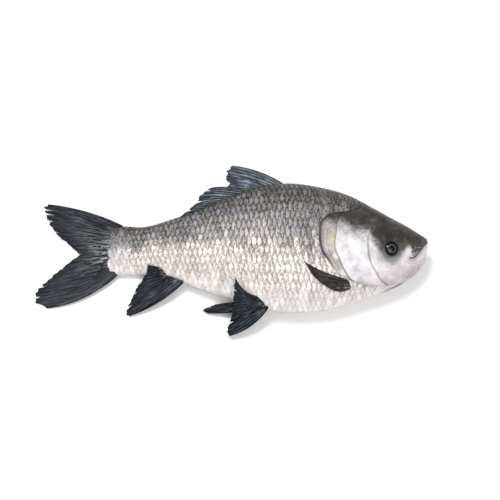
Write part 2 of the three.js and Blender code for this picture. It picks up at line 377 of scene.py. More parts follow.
# round patches of a tint: its share, place along and round, millimetres a per cent and a degree, width
patches = {
    "blue": [(0.6, 9.6, 88, 3.9, 1, 8)],
    "yellow": [(1, 30.9, 92, 3.9, 0.8, 5.5)],
    "blush": [(1, 8, 125, 2.2, 1, 20), (0.7, 2, 115, 3, 1, 22), (0.5, 17, 135, 3, 1, 14)],
    # the first spot patch is freckles under the eye; the second, behind the eye, is painted shade in front of
    # the fore gill bone's groove
    "freckles": [(1, 12.2, 117, 3.9, 1, 9), (0.5, 17.5, 100, 3, 1, 12)],
}


def patch(name, along, folded):
    return sum(share * bump(np.hypot((along - place) * perCent, (folded - angle) * perDegree), width)
               for share, place, angle, perCent, perDegree, width in patches[name])


# distance in millimetres from skin points to a line of places, on both sides of the head
def distanceTo(points, angle, places):
    curve = smoothThrough([(i,) + tuple(p) for i, p in enumerate(places)])
    fine = curve(np.linspace(0, len(places) - 1, 12 * len(places)))
    best = np.full(points.shape[:-1], 1e3)
    for side in (1, -1):
        line = skinPoint(fine[:, 0], side * fine[:, 1])
        mine = (np.sin(np.radians(angle)) * side >= -0.2) & (points[..., 0] > line[:, 0].min() - 25)
        near = points[mine]
        gap = np.linalg.norm(near[:, None, :] - line[None, :, :], axis=-1).min(1)
        best[mine] = np.minimum(best[mine], gap)
    return best


# millimetres behind an edge that runs round the body; shares of 1 inside its range of angles
def behindEdge(points, along, folded, places, fade=6):
    rows = sorted((angle, place) for place, angle in places)
    edge = smoothThrough(rows)
    low, high = rows[0][0], rows[-1][0]
    at = np.clip(folded, low, high)
    place = edge(at)[..., 0]
    slope = (edge(np.clip(at + 1, low, high))[..., 0] - place) * fish["length"] / 100
    arc = np.linalg.norm(skinPoint(along, at + 1) - skinPoint(along, at), axis=-1)
    gap = (along - place) * fish["length"] / 100 / np.sqrt(1 + (slope / np.maximum(arc, 0.2)) ** 2)
    return gap, ease((folded - low + fade) / fade) * ease((high + fade - folded) / fade)


def waves(points, size, seed):
    total = 0
    for k in range(6):
        turn = np.array([math.sin(seed + 2.4 * k), math.cos(1.7 * seed + 3.1 * k), math.sin(2.3 * seed + k)])
        turn /= np.linalg.norm(turn)
        total = total + np.sin(points @ turn * 2 * math.pi / (size * (0.7 + 0.15 * k)) + seed * k)
    return total / 6


# relief of the head in millimetres, and the shares of each tint and of the painted shade that its skin
# carries
def headRelief(points, along, angle):
    folded = np.minimum(angle % 360, 360 - angle % 360)
    relief = 0.12 * waves(points, 14, 1) + 0.06 * waves(points, 6, 2)
    lines = 0
    gaps = {name: distanceTo(points, angle, head[name]) for name in creases if name != "nostrils"}
    gaps["nostrils"] = np.minimum(*[
        distanceTo(points, angle, [place, (place[0] + 0.05, place[1])]) for place in head["nostrils"]])
    for name, rows in creases.items():
        for height, off, width in rows:
            relief += height * bump(gaps[name] - off, width)
    # the lines tint is painted shade, drawn dark along the grooves, slits and nostril pits
    for name, (share, width) in creaseShade.items():
        lines = lines + share * bump(gaps[name], width)

    # the two bones of the gill cover and the soft membrane behind them
    pre, preShare = behindEdge(points, along, folded, head["preopercle"])
    preRidge = 0.5 * bump(pre + 2.6, 1.8) * (pre < 0) + 0.35 * bump(pre - 2.5, 2)
    relief += preShare * (preRidge - 0.9 * bump(pre, 0.9))
    plate, plateShare = behindEdge(points, along, folded, head["opercle"])
    relief -= plateShare * (0.9 * ease(plate + 0.4) + 0.35 * bump(plate - 0.7, 0.6))
    # painted shade in the groove of the fore gill bone and at the step behind the gill cover's bony edge
    lines += preShare * 0.5 * bump(pre, 1.1)
    lines += plateShare * 0.75 * bump(plate - 0.5, 0.75) * ease((150 - folded) / 20)
    folds = 0.5 + 0.5 * np.sin(plate * 1.9 + 1.5 * waves(points, 12, 9))
    membrane = plateShare * ease(plate / 1.5) * (0.7 + 0.3 * folds)

    # the eye's socket with a raised rim
    eyeAlong, eyeAngle = head["eye"]
    eyes = [skinPoint(np.array(eyeAlong), np.array(side * eyeAngle)) for side in (1, -1)]
    toEye = np.minimum(*[np.linalg.norm(points - middle, axis=-1) for middle in eyes])
    fromRim = toEye - head["eyeRadius"]
    relief += 0.75 * bump(fromRim - 0.4, 1.2) - 5.5 * ease((-0.7 - fromRim) / 1.8)
    relief += 0.2 * bump(fromRim - 5.2, 1.0) - 0.3 * bump(fromRim - 3.4, 0.8)
    lines += ease((1.2 - fromRim) / 1.6)
    blue = np.clip(bump(np.maximum(fromRim - 1.5, 0), 8) + patch("blue", along, folded), 0, 1)
    blue *= ease((132 - folded) / 25)

    # the dark crown ends in a ragged edge, which fades over more degrees towards the nape
    darkEdge = smoothThrough(head["darkBelow"])(np.clip(along, 0, head["darkBelow"][-1][0]))[..., 0]
    ragged = 3.5 * waves(points, 17, 3) + 3 * waves(points, 6, 4)
    softness = 18 + 8 * ease((along - 13) / 3) + 5 * ease((along - 19.6) / 3)
    dark = ease((darkEdge + 6 + ragged * (0.6 + softness / 50) - folded) / softness)
    dark *= 1 - 0.45 * preShare * bump(pre - 1.2, 2.2) * ease((folded - 72) / 12)

    # grey between the lip and the snout, and painted shade under the chin and beside the gape
    lipRows = sorted(head["gape"])[3:]
    lip = smoothThrough(lipRows)(np.clip(along, lipRows[0][0], lipRows[-1][0]))[..., 0]
    jawPatch = ease((lip - folded) / 5) * ease((6.7 - along) / 0.9) * (0.95 - 0.45 * ease((folded - 92) / 20))
    dark = np.maximum(dark, jawPatch * (0.92 + 0.4 * waves(points * [0.5, 1, 1], 3.2, 6)))
    chin = ease((folded - 122) / 30) * ease((15 - along) / 8)
    chin += 0.8 * bump(gaps["gape"] - 2.5, 2.5) * (folded > 80)
    chin = np.clip(chin, 0, 1) * (0.85 + 0.4 * waves(points, 9, 5))
    tints = {"dark": dark, "blue": blue, "lines": lines, "membrane": membrane, "chin": chin}
    for name in ("yellow", "blush", "freckles"):
        tints[name] = patch(name, along, folded)
    return relief, {name: np.clip(value, 0, 1) for name, value in tints.items()}


# skin of the body: one closed surface, folded in under the gill covers

def makeSkin():
    right, left = head["columnsRight"], head["columnsLeft"]
    angle = np.r_[np.arange(right) * 180 / right, 180 + np.arange(left) * 180 / left]
    folded = np.minimum(angle, 360 - angle)
    edge = gillCurve(folded)[:, 0]
    cover = ease((folded - 50) / 22) * ease((158 - folded) / 22)
    lift = head["napeLift"] + (head["gillLift"] - head["napeLift"]) * cover
    perMm = 100 / fish["length"]
    tuck = head["gillTuck"] * (0.25 + 0.75 * cover)
    low = -head["underScales"] + 0 * cover

    rows, heights, kinds = [], [], []

    def addRing(along, height, kind):
        rows.append(along)
        heights.append(height)
        kinds.append(kind)

    for i in range(1, head["rings"] + 1):
        share = i / head["rings"]
        addRing(edge * share ** head["ringSpacing"], lift * ease(share ** 2), "head")
    thick = head["gillThickness"]
    for back, drop in ((0.35, 0.15), (0.5, 0.45), (0.35, 0.8), (0, 1)):  # the free edge is rounded
        addRing(edge + back * perMm, lift - drop * thick, "edge")
    addRing(edge - tuck * 0.8 * perMm, np.maximum(lift - thick * 1.1, 0.1), "slit")
    addRing(edge - tuck * perMm, low * 0.5, "slit")
    addRing(edge - tuck * 0.7 * perMm, low, "slit")
    for i in range(head["trunkRings"] + 1):
        share = i / head["trunkRings"]
        start = edge - 1 * perMm
        addRing(start + (100 - start) * share, low, "trunk")
    along, height = np.array(rows), np.array(heights)
    angles = np.broadcast_to(angle, along.shape)
    isHead = np.array([kind == "head" for kind in kinds])
    isEdge = np.array([kind == "edge" for kind in kinds])
    base, outward = skinPoint(along, angles), outwardAt(along, angles)

    relief = np.zeros(along.shape)
    last = head["rings"] - 1
    relief[isHead], tints = headRelief(base[isHead], along[isHead], angles[isHead])
    relief[isEdge] = relief[last]
    points = base + outward * (height + relief)[..., None]
    trunkFloor = head["scaleRoom"] + head["underScales"]
    floor = np.where((isHead | isEdge)[:, None], 0.05, trunkFloor)
    points[..., 2] = np.maximum(points[..., 2], floor)

    columns = len(angle)
    values = {}
    for name, share in tints.items():
        whole = np.zeros(along.shape)
        whole[isHead] = share
        whole[last + 1:last + 6] = share[last]
        values[name] = whole
    # painted shade along the gill cover's free edge and in the slit under it, strongest along the upper and
    # rear edge
    gillEdgeShade = np.zeros(along.shape)
    gillEdgeShade[last + 1:last + 9] = 1
    inner = -(along - edge)[:last + 1] / perMm
    gillEdgeShade[:last + 1] = 1.0 * bump(inner, 2.2) + 0.45 * bump(inner, 7)
    strength = ease((folded - 40) / 15) * ease((128 - folded) / 28)
    values["lines"] = np.clip(values["lines"] + gillEdgeShade * (0.15 + 0.85 * strength), 0, 1)
    nape = ease((85 - folded) / 30)
    values["dark"][last + 6:] = nape

    # the end of the flesh rounds in behind the last ring
    end = points[-1].copy()
    centre = end.mean(0)
    extra = []
    endRings = ((1.2, 0.93), (2.2, 0.75), (2.8, 0.45))  # millimetres back, size
    for back, size in endRings:
        ring = centre + (end - centre) * size
        ring[:, 0] = end[:, 0] - back
        extra.append(ring)
    points = np.concatenate([points, np.array(extra)])
    for name in values:
        values[name] = np.concatenate([values[name], np.repeat(values[name][-1:], len(endRings), 0)])
    rings = len(points)
    front, back = points[0].mean(0), points[-1].mean(0)
    allPoints = np.concatenate([points.reshape(-1, 3), [front, back]])
    faces = gridFaces(rings, columns)
    first, final = rings * columns, rings * columns + 1
    for j in range(columns):
        k = (j + 1) % columns
        faces.append((first, k, j))
        faces.append((final, (rings - 1) * columns + j, (rings - 1) * columns + k))
    item = makeObject("body_skin", allPoints, faces)
    for name, value in values.items():
        giveValues(item, name, np.r_[value.ravel(), value[0].mean(), value[-1].mean()])
    return smooth(faceOut(item))


skin = makeSkin()
print("skin", len(skin.data.polygons), "faces")


# scales: plates set in rows on a bed that follows the flank, like tiles from the tail forwards

scales = {
    "pitch": 6.2,  # from one plate of a row to the next
    "rowDeep": 11.0,  # between rows where the body is deepest
    "rowTail": 7.6,
    "plateLength": 13.0,
    "plateWidth": 23.0,
    "marginCurve": 3.1,  # how far a plate's margin recedes at the next row
    "thickness": 0.55,
    "edgeHeight": 1.15,
    "slope": 0.105,  # a plate sinks this much a millimetre ahead of its margin
    "crown": 0.34,  # lower by this much at the next row
    "turn": 3.5,  # degrees, either way
    "seed": 7,
    "lateralAngle": 94,  # the lateral line, which is row 0
    "bedAlong": (8, 106),  # per cent of the body under which the bed lies
    "bedRound": (-46, 226),  # degrees, well past the back and the belly
    "bedPoints": (280, 256),
    "first": 16.5,  # per cent, the foremost and the rearmost margin of a plate
    "last": 100.6,
}

# upper edge of the bright band on the flank: place along the body, degrees from the back
bandEdge = smoothThrough([
    (10, 104), (28, 104), (36.2, 101), (43.8, 98), (52.8, 96), (58.8, 94), (66.5, 92), (74.2, 92),
    (83.8, 95), (91.8, 100), (97, 108), (104, 115),
])


def rowSpacing(along):
    down = scales["rowDeep"] - scales["rowTail"]
    return scales["rowDeep"] - down * ease((along - 45) / 55) - 1.2 * ease((38 - along) / 22)


# arc from the lateral line round the skin, in rows, over a grid of places
def rowsAcross(along, angle, side):
    points = skinPoint(along, side * angle)
    step = np.linalg.norm(np.diff(points, axis=1), axis=-1)
    arc = np.concatenate([np.zeros((len(points), 1)), np.cumsum(step, 1)], 1)
    zero = np.array([np.interp(scales["lateralAngle"], angle[0], line) for line in arc])
    return (arc - zero[:, None]) / rowSpacing(along)


def makeBed(side):
    lines, places = scales["bedPoints"]
    along = np.linspace(*scales["bedAlong"], lines)[:, None] + np.zeros((1, places))
    angle = np.linspace(*scales["bedRound"], places)[None, :] + np.zeros((lines, 1))
    rows = rowsAcross(along, angle, side)
    columns = along * fish["length"] / 100 / scales["pitch"]
    points, outward = skinPoint(along, side * angle), outwardAt(along, side * angle)
    spacing = rowSpacing(along)
    zero = np.array([np.interp(0, a, r) for a, r in zip(angle, rows)])[:, None]
    full = np.array([np.interp(180, a, r) for a, r in zip(angle, rows)])[:, None]
    past = np.maximum(zero - rows, 0) * spacing + np.maximum(rows - full, 0) * spacing
    points = points - outward * (0.5 + np.minimum(0.13 * past, 1.6))[..., None]
    flat = head["scaleRoom"]
    pressed = points[..., 2] < flat
    points[..., 2] = np.maximum(points[..., 2], flat)
    outward = np.where(pressed[..., None], np.array([0, 0, -1.0]), outward)
    low = np.array([columns.min(), rows.min()])
    size = np.array([columns.max(), rows.max()]) - low
    item = makeObject("bed", points, gridFaces(lines, places, closed=False))
    layer = item.data.uv_layers.new(name="chart")
    vertex = np.zeros(len(item.data.loops), np.int32)
    item.data.loops.foreach_get("vertex_index", vertex)
    chart = (np.stack([columns, rows], -1).reshape(-1, 2) - low) / size
    layer.data.foreach_set("uv", chart[vertex].astype(np.float32).ravel())
    giveValues(item, "outward", outward.reshape(-1, 3))
    band = 0.5 + (angle - bandEdge(along)[..., 0]) / 180
    giveValues(item, "place", np.stack([along / 100, band, angle / 180], -1).reshape(-1, 3))
    return item, low, size, (along, angle, rows)


# chart places of the plates: whole columns, every second row half a column on
def plateSeats(bed):
    along, angle, rows = bed
    seats = []
    firstRow, lastRow = int(rows.min()), int(rows.max())
    perMm = 100 / fish["length"]
    for row in range(firstRow, lastRow + 1):
        for column in range(10, int(103 / perMm / scales["pitch"])):
            place = column + (row % 2) / 2
            percent = place * scales["pitch"] * perMm
            line = int(np.argmin(np.abs(along[:, 0] - percent)))
            if not rows[line, 0] < row < rows[line, -1]:
                continue
            round_ = float(np.interp(row, rows[line], angle[line]))
            edge = float(gillCurve(np.clip(round_, 0, 180))[0])
            open_ = float(ease((round_ - 50) / 22) * ease((158 - round_) / 22))
            behind = 1.5 + 3.5 * (1 - open_)
            start = max(edge + behind * perMm, scales["first"])
            end = scales["last"] + 0.9 * math.cos(row * 0.55)
            spare = 1.0 / rowSpacing(percent) * 57.3 / 40
            if percent < start or percent > end or not -2.0 - spare < round_ < 182 + spare:
                continue
            seats.append((place, row))
    return np.array(seats, float)


# one plate in chart millimetres: x towards the tail with its margin at 0, y across the rows
def makePlate():
    back = np.array([0, 0.45, 1.6, 5.5, scales["plateLength"]])
    across = np.linspace(-1, 1, 9) * scales["plateWidth"] / 2
    share = across / scales["rowDeep"]
    top = []
    for distance in back:
        margin = -scales["marginCurve"] * share ** 2
        narrow = np.where(distance > 8, 0.72, 1.0)  # the hidden root is narrower
        height = scales["edgeHeight"] - scales["slope"] * distance - scales["crown"] * share ** 2
        height -= 0.28 * (distance == 0) + 0.03 * (distance == 0.45)  # the margin is rounded down
        top.append(np.stack([margin - distance, across * narrow, height], -1))
    top = np.array(top)
    rows, columns = top.shape[:2]
    count = rows * columns
    grid = np.arange(count).reshape(rows, columns)
    rim = np.r_[grid[0, :-1], grid[:-1, -1], grid[-1, :0:-1], grid[:0:-1, 0]].tolist()
    under = top.reshape(-1, 3)[rim] - [0, 0, scales["thickness"]]
    points = np.concatenate([top.reshape(-1, 3), under])
    faces = gridFaces(rows, columns, closed=False)
    for i in range(len(rim)):
        k = (i + 1) % len(rim)
        faces.append((rim[k], rim[i], count + i, count + k))
    faces.append(tuple(count + i for i in reversed(range(len(rim)))))
    mesh = bpy.data.meshes.new("plate")
    mesh.from_pydata((points * mm).tolist(), [], faces)
    layer = mesh.uv_layers.new(name="plate")
    vertex = np.zeros(len(mesh.loops), np.int32)
    mesh.loops.foreach_get("vertex_index", vertex)
    chart = points[:, :2] / [scales["plateLength"] * 2, scales["plateWidth"]] + [1, 0.5]
    layer.data.foreach_set("uv", chart[vertex].astype(np.float32).ravel())
    smoothFaces = [len(face) == 4 and max(face) < count for face in faces]
    mesh.polygons.foreach_set("use_smooth", smoothFaces)
    item = bpy.data.objects.new("plate", mesh)
    collection.objects.link(item)
    return faceOut(item)


def makeScaleTree():
    tree, given = newGeometryTree("scaleRows", [
        ("Geometry", "NodeSocketGeometry"), ("Bed", "NodeSocketObject"), ("Plate", "NodeSocketObject"),
        ("Chart Low", "NodeSocketVector"), ("Chart Size", "NodeSocketVector"), ("Cell", "NodeSocketVector"),
        ("Turn", "NodeSocketFloat"), ("Seed", "NodeSocketInt"), ("Material", "NodeSocketMaterial")])
    out = given.outputs
    plate = addNode(tree, "GeometryNodeObjectInfo", {"Object": out["Plate"]})
    bed = addNode(tree, "GeometryNodeObjectInfo", {"Object": out["Bed"]})
    bedShape = bed.outputs["Geometry"]
    turn = addNode(tree, "FunctionNodeRandomValue", {2: -1.0, 3: 1.0, "Seed": out["Seed"]}, data_type="FLOAT")
    turned = addNode(tree, "ShaderNodeMath MULTIPLY", turn.outputs[1], out["Turn"])
    spin = addNode(tree, "ShaderNodeCombineXYZ", {"Z": turned})
    size = addNode(tree, "FunctionNodeRandomValue", {2: 0.97, 3: 1.03, "Seed": 31}, data_type="FLOAT")
    tone = addNode(tree, "FunctionNodeRandomValue", {2: 0.0, 3: 1.0, "Seed": 12}, data_type="FLOAT")
    seats = addNode(tree, "GeometryNodeInstanceOnPoints", {
        "Points": out["Geometry"], "Instance": plate.outputs["Geometry"], "Rotation": spin,
        "Scale": size.outputs[1]})
    toned = addNode(tree, "GeometryNodeStoreNamedAttribute", {
        "Geometry": seats, "Name": "tone", "Value": tone.outputs[1]}, data_type="FLOAT", domain="INSTANCE")
    whole = addNode(tree, "GeometryNodeRealizeInstances", {"Geometry": toned})
    position = addNode(tree, "GeometryNodeInputPosition")
    cells = addNode(tree, "ShaderNodeVectorMath DIVIDE", position, out["Cell"])
    fromLow = addNode(tree, "ShaderNodeVectorMath SUBTRACT", cells, out["Chart Low"])
    chart = addNode(tree, "ShaderNodeVectorMath DIVIDE", fromLow, out["Chart Size"])
    chartName = addNode(tree, "GeometryNodeInputNamedAttribute", {"Name": "chart"}, data_type="FLOAT_VECTOR")
    sampled = []
    for name in ("position", "outward", "place"):
        if name == "position":
            value = addNode(tree, "GeometryNodeInputPosition")
        else:
            value = addNode(tree, "GeometryNodeInputNamedAttribute", {"Name": name}, data_type="FLOAT_VECTOR")
        sampled.append(addNode(tree, "GeometryNodeSampleUVSurface", {
            "Mesh": bedShape, "Value": value.outputs[0], 2: chartName.outputs[0], 3: chart},
            data_type="FLOAT_VECTOR"))
    height = addNode(tree, "ShaderNodeSeparateXYZ", position)
    rise = addNode(tree, "ShaderNodeVectorMath SCALE", {0: sampled[1], "Scale": height.outputs["Z"]})
    raised = addNode(tree, "ShaderNodeVectorMath ADD", sampled[0], rise)
    placed = addNode(tree, "GeometryNodeStoreNamedAttribute", {
        "Geometry": whole, "Name": "place", "Value": sampled[2]}, data_type="FLOAT_VECTOR", domain="POINT")
    moved = addNode(tree, "GeometryNodeSetPosition", {"Geometry": placed, "Position": raised})
    finished = addNode(tree, "GeometryNodeSetMaterial", {"Geometry": moved, "Material": out["Material"]})
    addNode(tree, "NodeGroupOutput", {"Geometry": finished})
    return tree


# the patterns on a scale, in millimetres, and its colours
scaleLook = {
    "wobble": 3.03,  # bends in the edges of the net
    "areas": 38.46,  # paler and darker areas of the flank
    "grain": 1.786,  # pigment cells, and light specks that are painted glints, drawn some ten times too coarse so that they show
    "hues": 13.33,
    "slime": 1.111,
    "growth": 0.5712,  # between growth lines, drawn about five times too coarse so that they show
    "raysAcross": 9.0,  # fine rays to a row
    # colours from the back down to the belly: the net between the scales, and their hearts
    "net": [(0.0, "#1a1919"), (0.2, "#232221"), (0.36, "#363433"), (0.44, "#54504e"), (0.55, "#9a918d"),
            (0.68, "#a59b97"), (0.8, "#c4bdba"), (0.88, "#d6d1cf"), (1.0, "#d9d5d3")],
    "heart": [(0.0, "#444240"), (0.2, "#63605d"), (0.34, "#7f7b78"), (0.44, "#a8a29f"), (0.55, "#e0d8d4"),
              (0.68, "#e1d9d5"), (0.85, "#e6e0dd"), (1.0, "#e8e4e1")],
    "sheen": [(0.3, "#74819a"), (0.44, "#838494"), (0.55, "#8a8481"), (0.7, "#928b85")],
    "tailRoot": "#c3c5d0",
}


# clear plates over a silvery lining: bright in the middle, with a dark net where pigmented roots lie
# beneath, and growth lines that catch the light
def makeScaleMaterial():
    material, tree = newMaterial("wet cycloid scales")
    length, across, curve = scales["plateLength"], scales["plateWidth"], scales["marginCurve"]
    local = addNode(tree, "ShaderNodeSeparateXYZ", addNode(tree, "ShaderNodeUVMap", uv_map="plate")).outputs
    x = addNode(tree, "ShaderNodeMath MULTIPLY_ADD", local["X"], 2 * length, -2 * length)
    rowsWide = across / scales["rowDeep"]
    y = addNode(tree, "ShaderNodeMath MULTIPLY_ADD", local["Y"], rowsWide, -rowsWide / 2)
    aside = addNode(tree, "ShaderNodeMath ABSOLUTE", y)
    objectPlace = addNode(tree, "ShaderNodeTexCoord").outputs["Object"]

    # millimetres in from the plate's own margin, and from the margins of the two plates beside it
    wobble = addNode(tree, "ShaderNodeTexNoise", {
        "Vector": objectPlace, "Scale": 1 / (scaleLook["wobble"] * mm), "Detail": 3.0, "Roughness": 0.6})
    shift = addNode(tree, "ShaderNodeMath MULTIPLY_ADD", wobble, 5.2, -2.6)
    square = addNode(tree, "ShaderNodeMath MULTIPLY", y, y)
    bent = addNode(tree, "ShaderNodeMath MULTIPLY_ADD", square, curve, x)
    fromMargin = addNode(tree, "ShaderNodeMath SUBTRACT", shift, bent)
    beside = addNode(tree, "ShaderNodeMath SUBTRACT", aside, 1.0)
    besideSquare = addNode(tree, "ShaderNodeMath MULTIPLY", beside, beside)
    nextBent = addNode(tree, "ShaderNodeMath MULTIPLY_ADD", besideSquare, curve, x)
    nextShift = addNode(tree, "ShaderNodeMath ADD", shift, curve)
    fromNext = addNode(tree, "ShaderNodeMath ADD", nextBent, nextShift)
    inMargin = addNode(tree, "ShaderNodeMapRange", fromMargin, -0.5, 1.9, **eased)
    inNext = addNode(tree, "ShaderNodeMapRange", fromNext, -0.4, 2.8, **eased)
    inWidth = addNode(tree, "ShaderNodeMapRange", aside, 0.96, 0.22, **eased)
    inBoth = addNode(tree, "ShaderNodeMath MULTIPLY", inMargin, inNext)
    middle = addNode(tree, "ShaderNodeMath MULTIPLY", inBoth, inWidth)

    # how high on the flank: 0 at the back, above a half in the bright band and on the belly
    band = addNode(tree, "ShaderNodeSeparateXYZ", addNode(
        tree, "ShaderNodeAttribute", attribute_name="place").outputs["Vector"]).outputs
    areas = addNode(tree, "ShaderNodeTexNoise", {
        "Vector": objectPlace, "Scale": 1 / (scaleLook["areas"] * mm), "Detail": 5.0, "Roughness": 0.7})
    tone = addNode(tree, "ShaderNodeAttribute", attribute_name="tone").outputs["Fac"]
    uneven = addNode(tree, "ShaderNodeMath MULTIPLY_ADD", areas, 0.3, -0.15)
    toned = addNode(tree, "ShaderNodeMath MULTIPLY_ADD", tone, 0.09, -0.045)
    atTail = addNode(tree, "ShaderNodeMapRange", band["X"], 0.9, 0.98, 0.0, 0.07, **eased)
    level = addNode(tree, "ShaderNodeMath ADD", band["Y"], uneven)
    level = addNode(tree, "ShaderNodeMath ADD", level, toned)
    level = addNode(tree, "ShaderNodeMath ADD", level, atTail)

    # the pattern frays into strokes and grain, whose light specks are partly painted glints, and fades over
    # the shoulder and at the tail's root
    strokeX = addNode(tree, "ShaderNodeMath MULTIPLY", x, 0.85)
    strokeY = addNode(tree, "ShaderNodeMath MULTIPLY", y, 2.4)
    strokeZ = addNode(tree, "ShaderNodeMath MULTIPLY", tone, 37.0)
    strokePlace = addNode(tree, "ShaderNodeCombineXYZ", strokeX, strokeY, strokeZ)
    strokes = addNode(tree, "ShaderNodeTexNoise", {
        "Vector": strokePlace, "Scale": 1.0, "Detail": 3.0, "Roughness": 0.6})
    # its light specks are painted glints as well as pigment cells
    grain = addNode(tree, "ShaderNodeTexNoise", {
        "Vector": objectPlace, "Scale": 1 / (scaleLook["grain"] * mm), "Detail": 3.0, "Roughness": 0.65})
    stroked = addNode(tree, "ShaderNodeMath MULTIPLY_ADD", strokes, 3.1, -1.55)
    loose = addNode(tree, "ShaderNodeMath MULTIPLY_ADD", grain, 2.8, -1.4)
    loose = addNode(tree, "ShaderNodeMath ADD", stroked, loose)
    ahead = addNode(tree, "ShaderNodeMapRange", band["X"], 0.44, 0.3, **eased)
    above = addNode(tree, "ShaderNodeMapRange", band["Y"], 0.52, 0.36, **eased)
    shoulder = addNode(tree, "ShaderNodeMath MULTIPLY", ahead, above)
    offShoulder = addNode(tree, "ShaderNodeMath MULTIPLY_ADD", shoulder, -0.7, 1.0)
    offTail = addNode(tree, "ShaderNodeMapRange", band["X"], 0.9, 0.97, 1.0, 0.15, **eased)
    crisp = addNode(tree, "ShaderNodeMath MULTIPLY", offShoulder, offTail)
    clear = addNode(tree, "ShaderNodeMath MULTIPLY_ADD", areas, 1.1, 0.25)
    clear = addNode(tree, "ShaderNodeMath MULTIPLY", clear, crisp)
    pattern = addNode(tree, "ShaderNodeMath SUBTRACT", middle, 0.55)
    pattern = addNode(tree, "ShaderNodeMath MULTIPLY_ADD", pattern, clear, 0.55)
    pattern = addNode(tree, "ShaderNodeMath ADD", pattern, loose)
    heartShare = addNode(tree, "ShaderNodeMapRange", pattern, **eased)

    net = addNode(tree, "ShaderNodeValToRGB", level, stops=scaleLook["net"])
    heart = addNode(tree, "ShaderNodeValToRGB", level, stops=scaleLook["heart"])
    colour = addNode(tree, "ShaderNodeMix", {0: heartShare, 6: net, 7: heart}, data_type="RGBA").outputs[2]

    # blue, lilac and bronze over the upper flank
    hues = addNode(tree, "ShaderNodeTexNoise", {
        "Vector": objectPlace, "Scale": 1 / (scaleLook["hues"] * mm), "Detail": 3.0})
    sheen = addNode(tree, "ShaderNodeValToRGB", hues, stops=scaleLook["sheen"])
    offBack = addNode(tree, "ShaderNodeMapRange", level, 0.12, 0.3, 0.0, 0.4, **eased)
    offBand = addNode(tree, "ShaderNodeMapRange", level, 0.55, 0.42, **eased)
    upper = addNode(tree, "ShaderNodeMath MULTIPLY", offBack, offBand)
    sheenShare = addNode(tree, "ShaderNodeMath MULTIPLY", upper, heartShare)
    colour = addNode(tree, "ShaderNodeMix", {0: sheenShare, 6: colour, 7: sheen}, data_type="RGBA").outputs[2]
    lit = addNode(tree, "ShaderNodeMath MULTIPLY_ADD", tone, 0.26, 0.62)
    lit = addNode(tree, "ShaderNodeMath MULTIPLY_ADD", strokes, 0.5, lit)
    colour = addNode(tree, "ShaderNodeVectorMath SCALE", {0: colour, "Scale": lit})

    # the skin over the tail's root is pale and bluish
    tailShare = addNode(tree, "ShaderNodeMapRange", band["X"], 0.92, 0.99, 0.0, 0.65)
    offRidge = addNode(tree, "ShaderNodeMapRange", band["Y"], 0.22, 0.45, **eased)
    tailShare = addNode(tree, "ShaderNodeMath MULTIPLY", tailShare, offRidge)
    tailShare = addNode(tree, "ShaderNodeMath MULTIPLY", tailShare, grain)
    colour = addNode(tree, "ShaderNodeMix", {
        0: tailShare, 6: colour, 7: scaleLook["tailRoot"]}, data_type="RGBA").outputs[2]

    # growth lines, fine rays across them, and slime
    growthY = addNode(tree, "ShaderNodeMath MULTIPLY", y, scaleLook["raysAcross"])
    growth = addNode(tree, "ShaderNodeCombineXYZ", fromMargin, growthY)
    rings = addNode(tree, "ShaderNodeTexWave", {
        "Vector": growth, "Scale": math.pi / 10 / scaleLook["growth"], "Distortion": 1.2, "Detail": 1.0},
        bands_direction="X")
    rays = addNode(tree, "ShaderNodeTexWave", {
        "Vector": growth, "Scale": 0.5, "Distortion": 1.5, "Detail": 1.0}, bands_direction="Y")
    slime = addNode(tree, "ShaderNodeTexNoise", {
        "Vector": objectPlace, "Scale": 1 / (scaleLook["slime"] * mm), "Detail": 2.0})
    relief = addNode(tree, "ShaderNodeMath MULTIPLY", rings, 0.3)
    relief = addNode(tree, "ShaderNodeMath MULTIPLY_ADD", rays, 0.35, relief)
    relief = addNode(tree, "ShaderNodeMath MULTIPLY_ADD", slime, 0.5, relief)
    bumps = addNode(tree, "ShaderNodeBump", {"Strength": 0.5, "Distance": 0.00012, "Height": relief})
    rough = addNode(tree, "ShaderNodeMath MULTIPLY_ADD", middle, -0.1, 0.4)
    rough = addNode(tree, "ShaderNodeMath MULTIPLY_ADD", slime, 0.16, rough)
    bright = addNode(tree, "ShaderNodeMapRange", level, 0.4, 0.6, 0.0, 0.22, **eased)
    metal = addNode(tree, "ShaderNodeMath MULTIPLY", heartShare, bright)
    shader = addNode(tree, "ShaderNodeBsdfPrincipled", {
        "Base Color": colour, "Roughness": rough, "Metallic": metal, "Normal": bumps,
        "Specular IOR Level": 0.35, "IOR": 1.4, "Coat Weight": 0.15, "Coat Roughness": 0.2})
    addNode(tree, "ShaderNodeOutputMaterial", {"Surface": shader})
    return material


def makeScales():
    plate, tree, material = makePlate(), makeScaleTree(), makeScaleMaterial()
    made = []
    for name, side in (("scales_right", 1), ("scales_left", -1)):
        bed, low, size, grid = makeBed(side)
        seats = plateSeats(grid)
        cell = np.array([scales["pitch"], scales["rowDeep"]]) * mm
        mesh = bpy.data.meshes.new(name)
        mesh.from_pydata([(c * cell[0], r * cell[1], 0) for c, r in seats], [], [])
        item = bpy.data.objects.new(name, mesh)
        collection.objects.link(item)
        runTree(item, tree, {
            "Bed": bed, "Plate": plate, "Chart Low": (*low, 0.0), "Chart Size": (*size, 1.0),
            "Cell": (*cell.tolist(), 1.0), "Turn": math.radians(scales["turn"]),
            "Seed": scales["seed"], "Material": material})
        faceOut(item)
        putAway(bed)
        made.append(item)
        corners = np.zeros(len(item.data.vertices) * 3, np.float32)
        item.data.vertices.foreach_get("co", corners)
        # a corner that falls off the bed lands at 0, 0, 0
        lost = int((np.abs(corners.reshape(-1, 3)).max(1) < 1e-7).sum())
        print(name, len(seats), "plates", len(item.data.polygons), "faces", lost, "corners off the bed")
    putAway(plate)
    return made


scalePieces = makeScales()


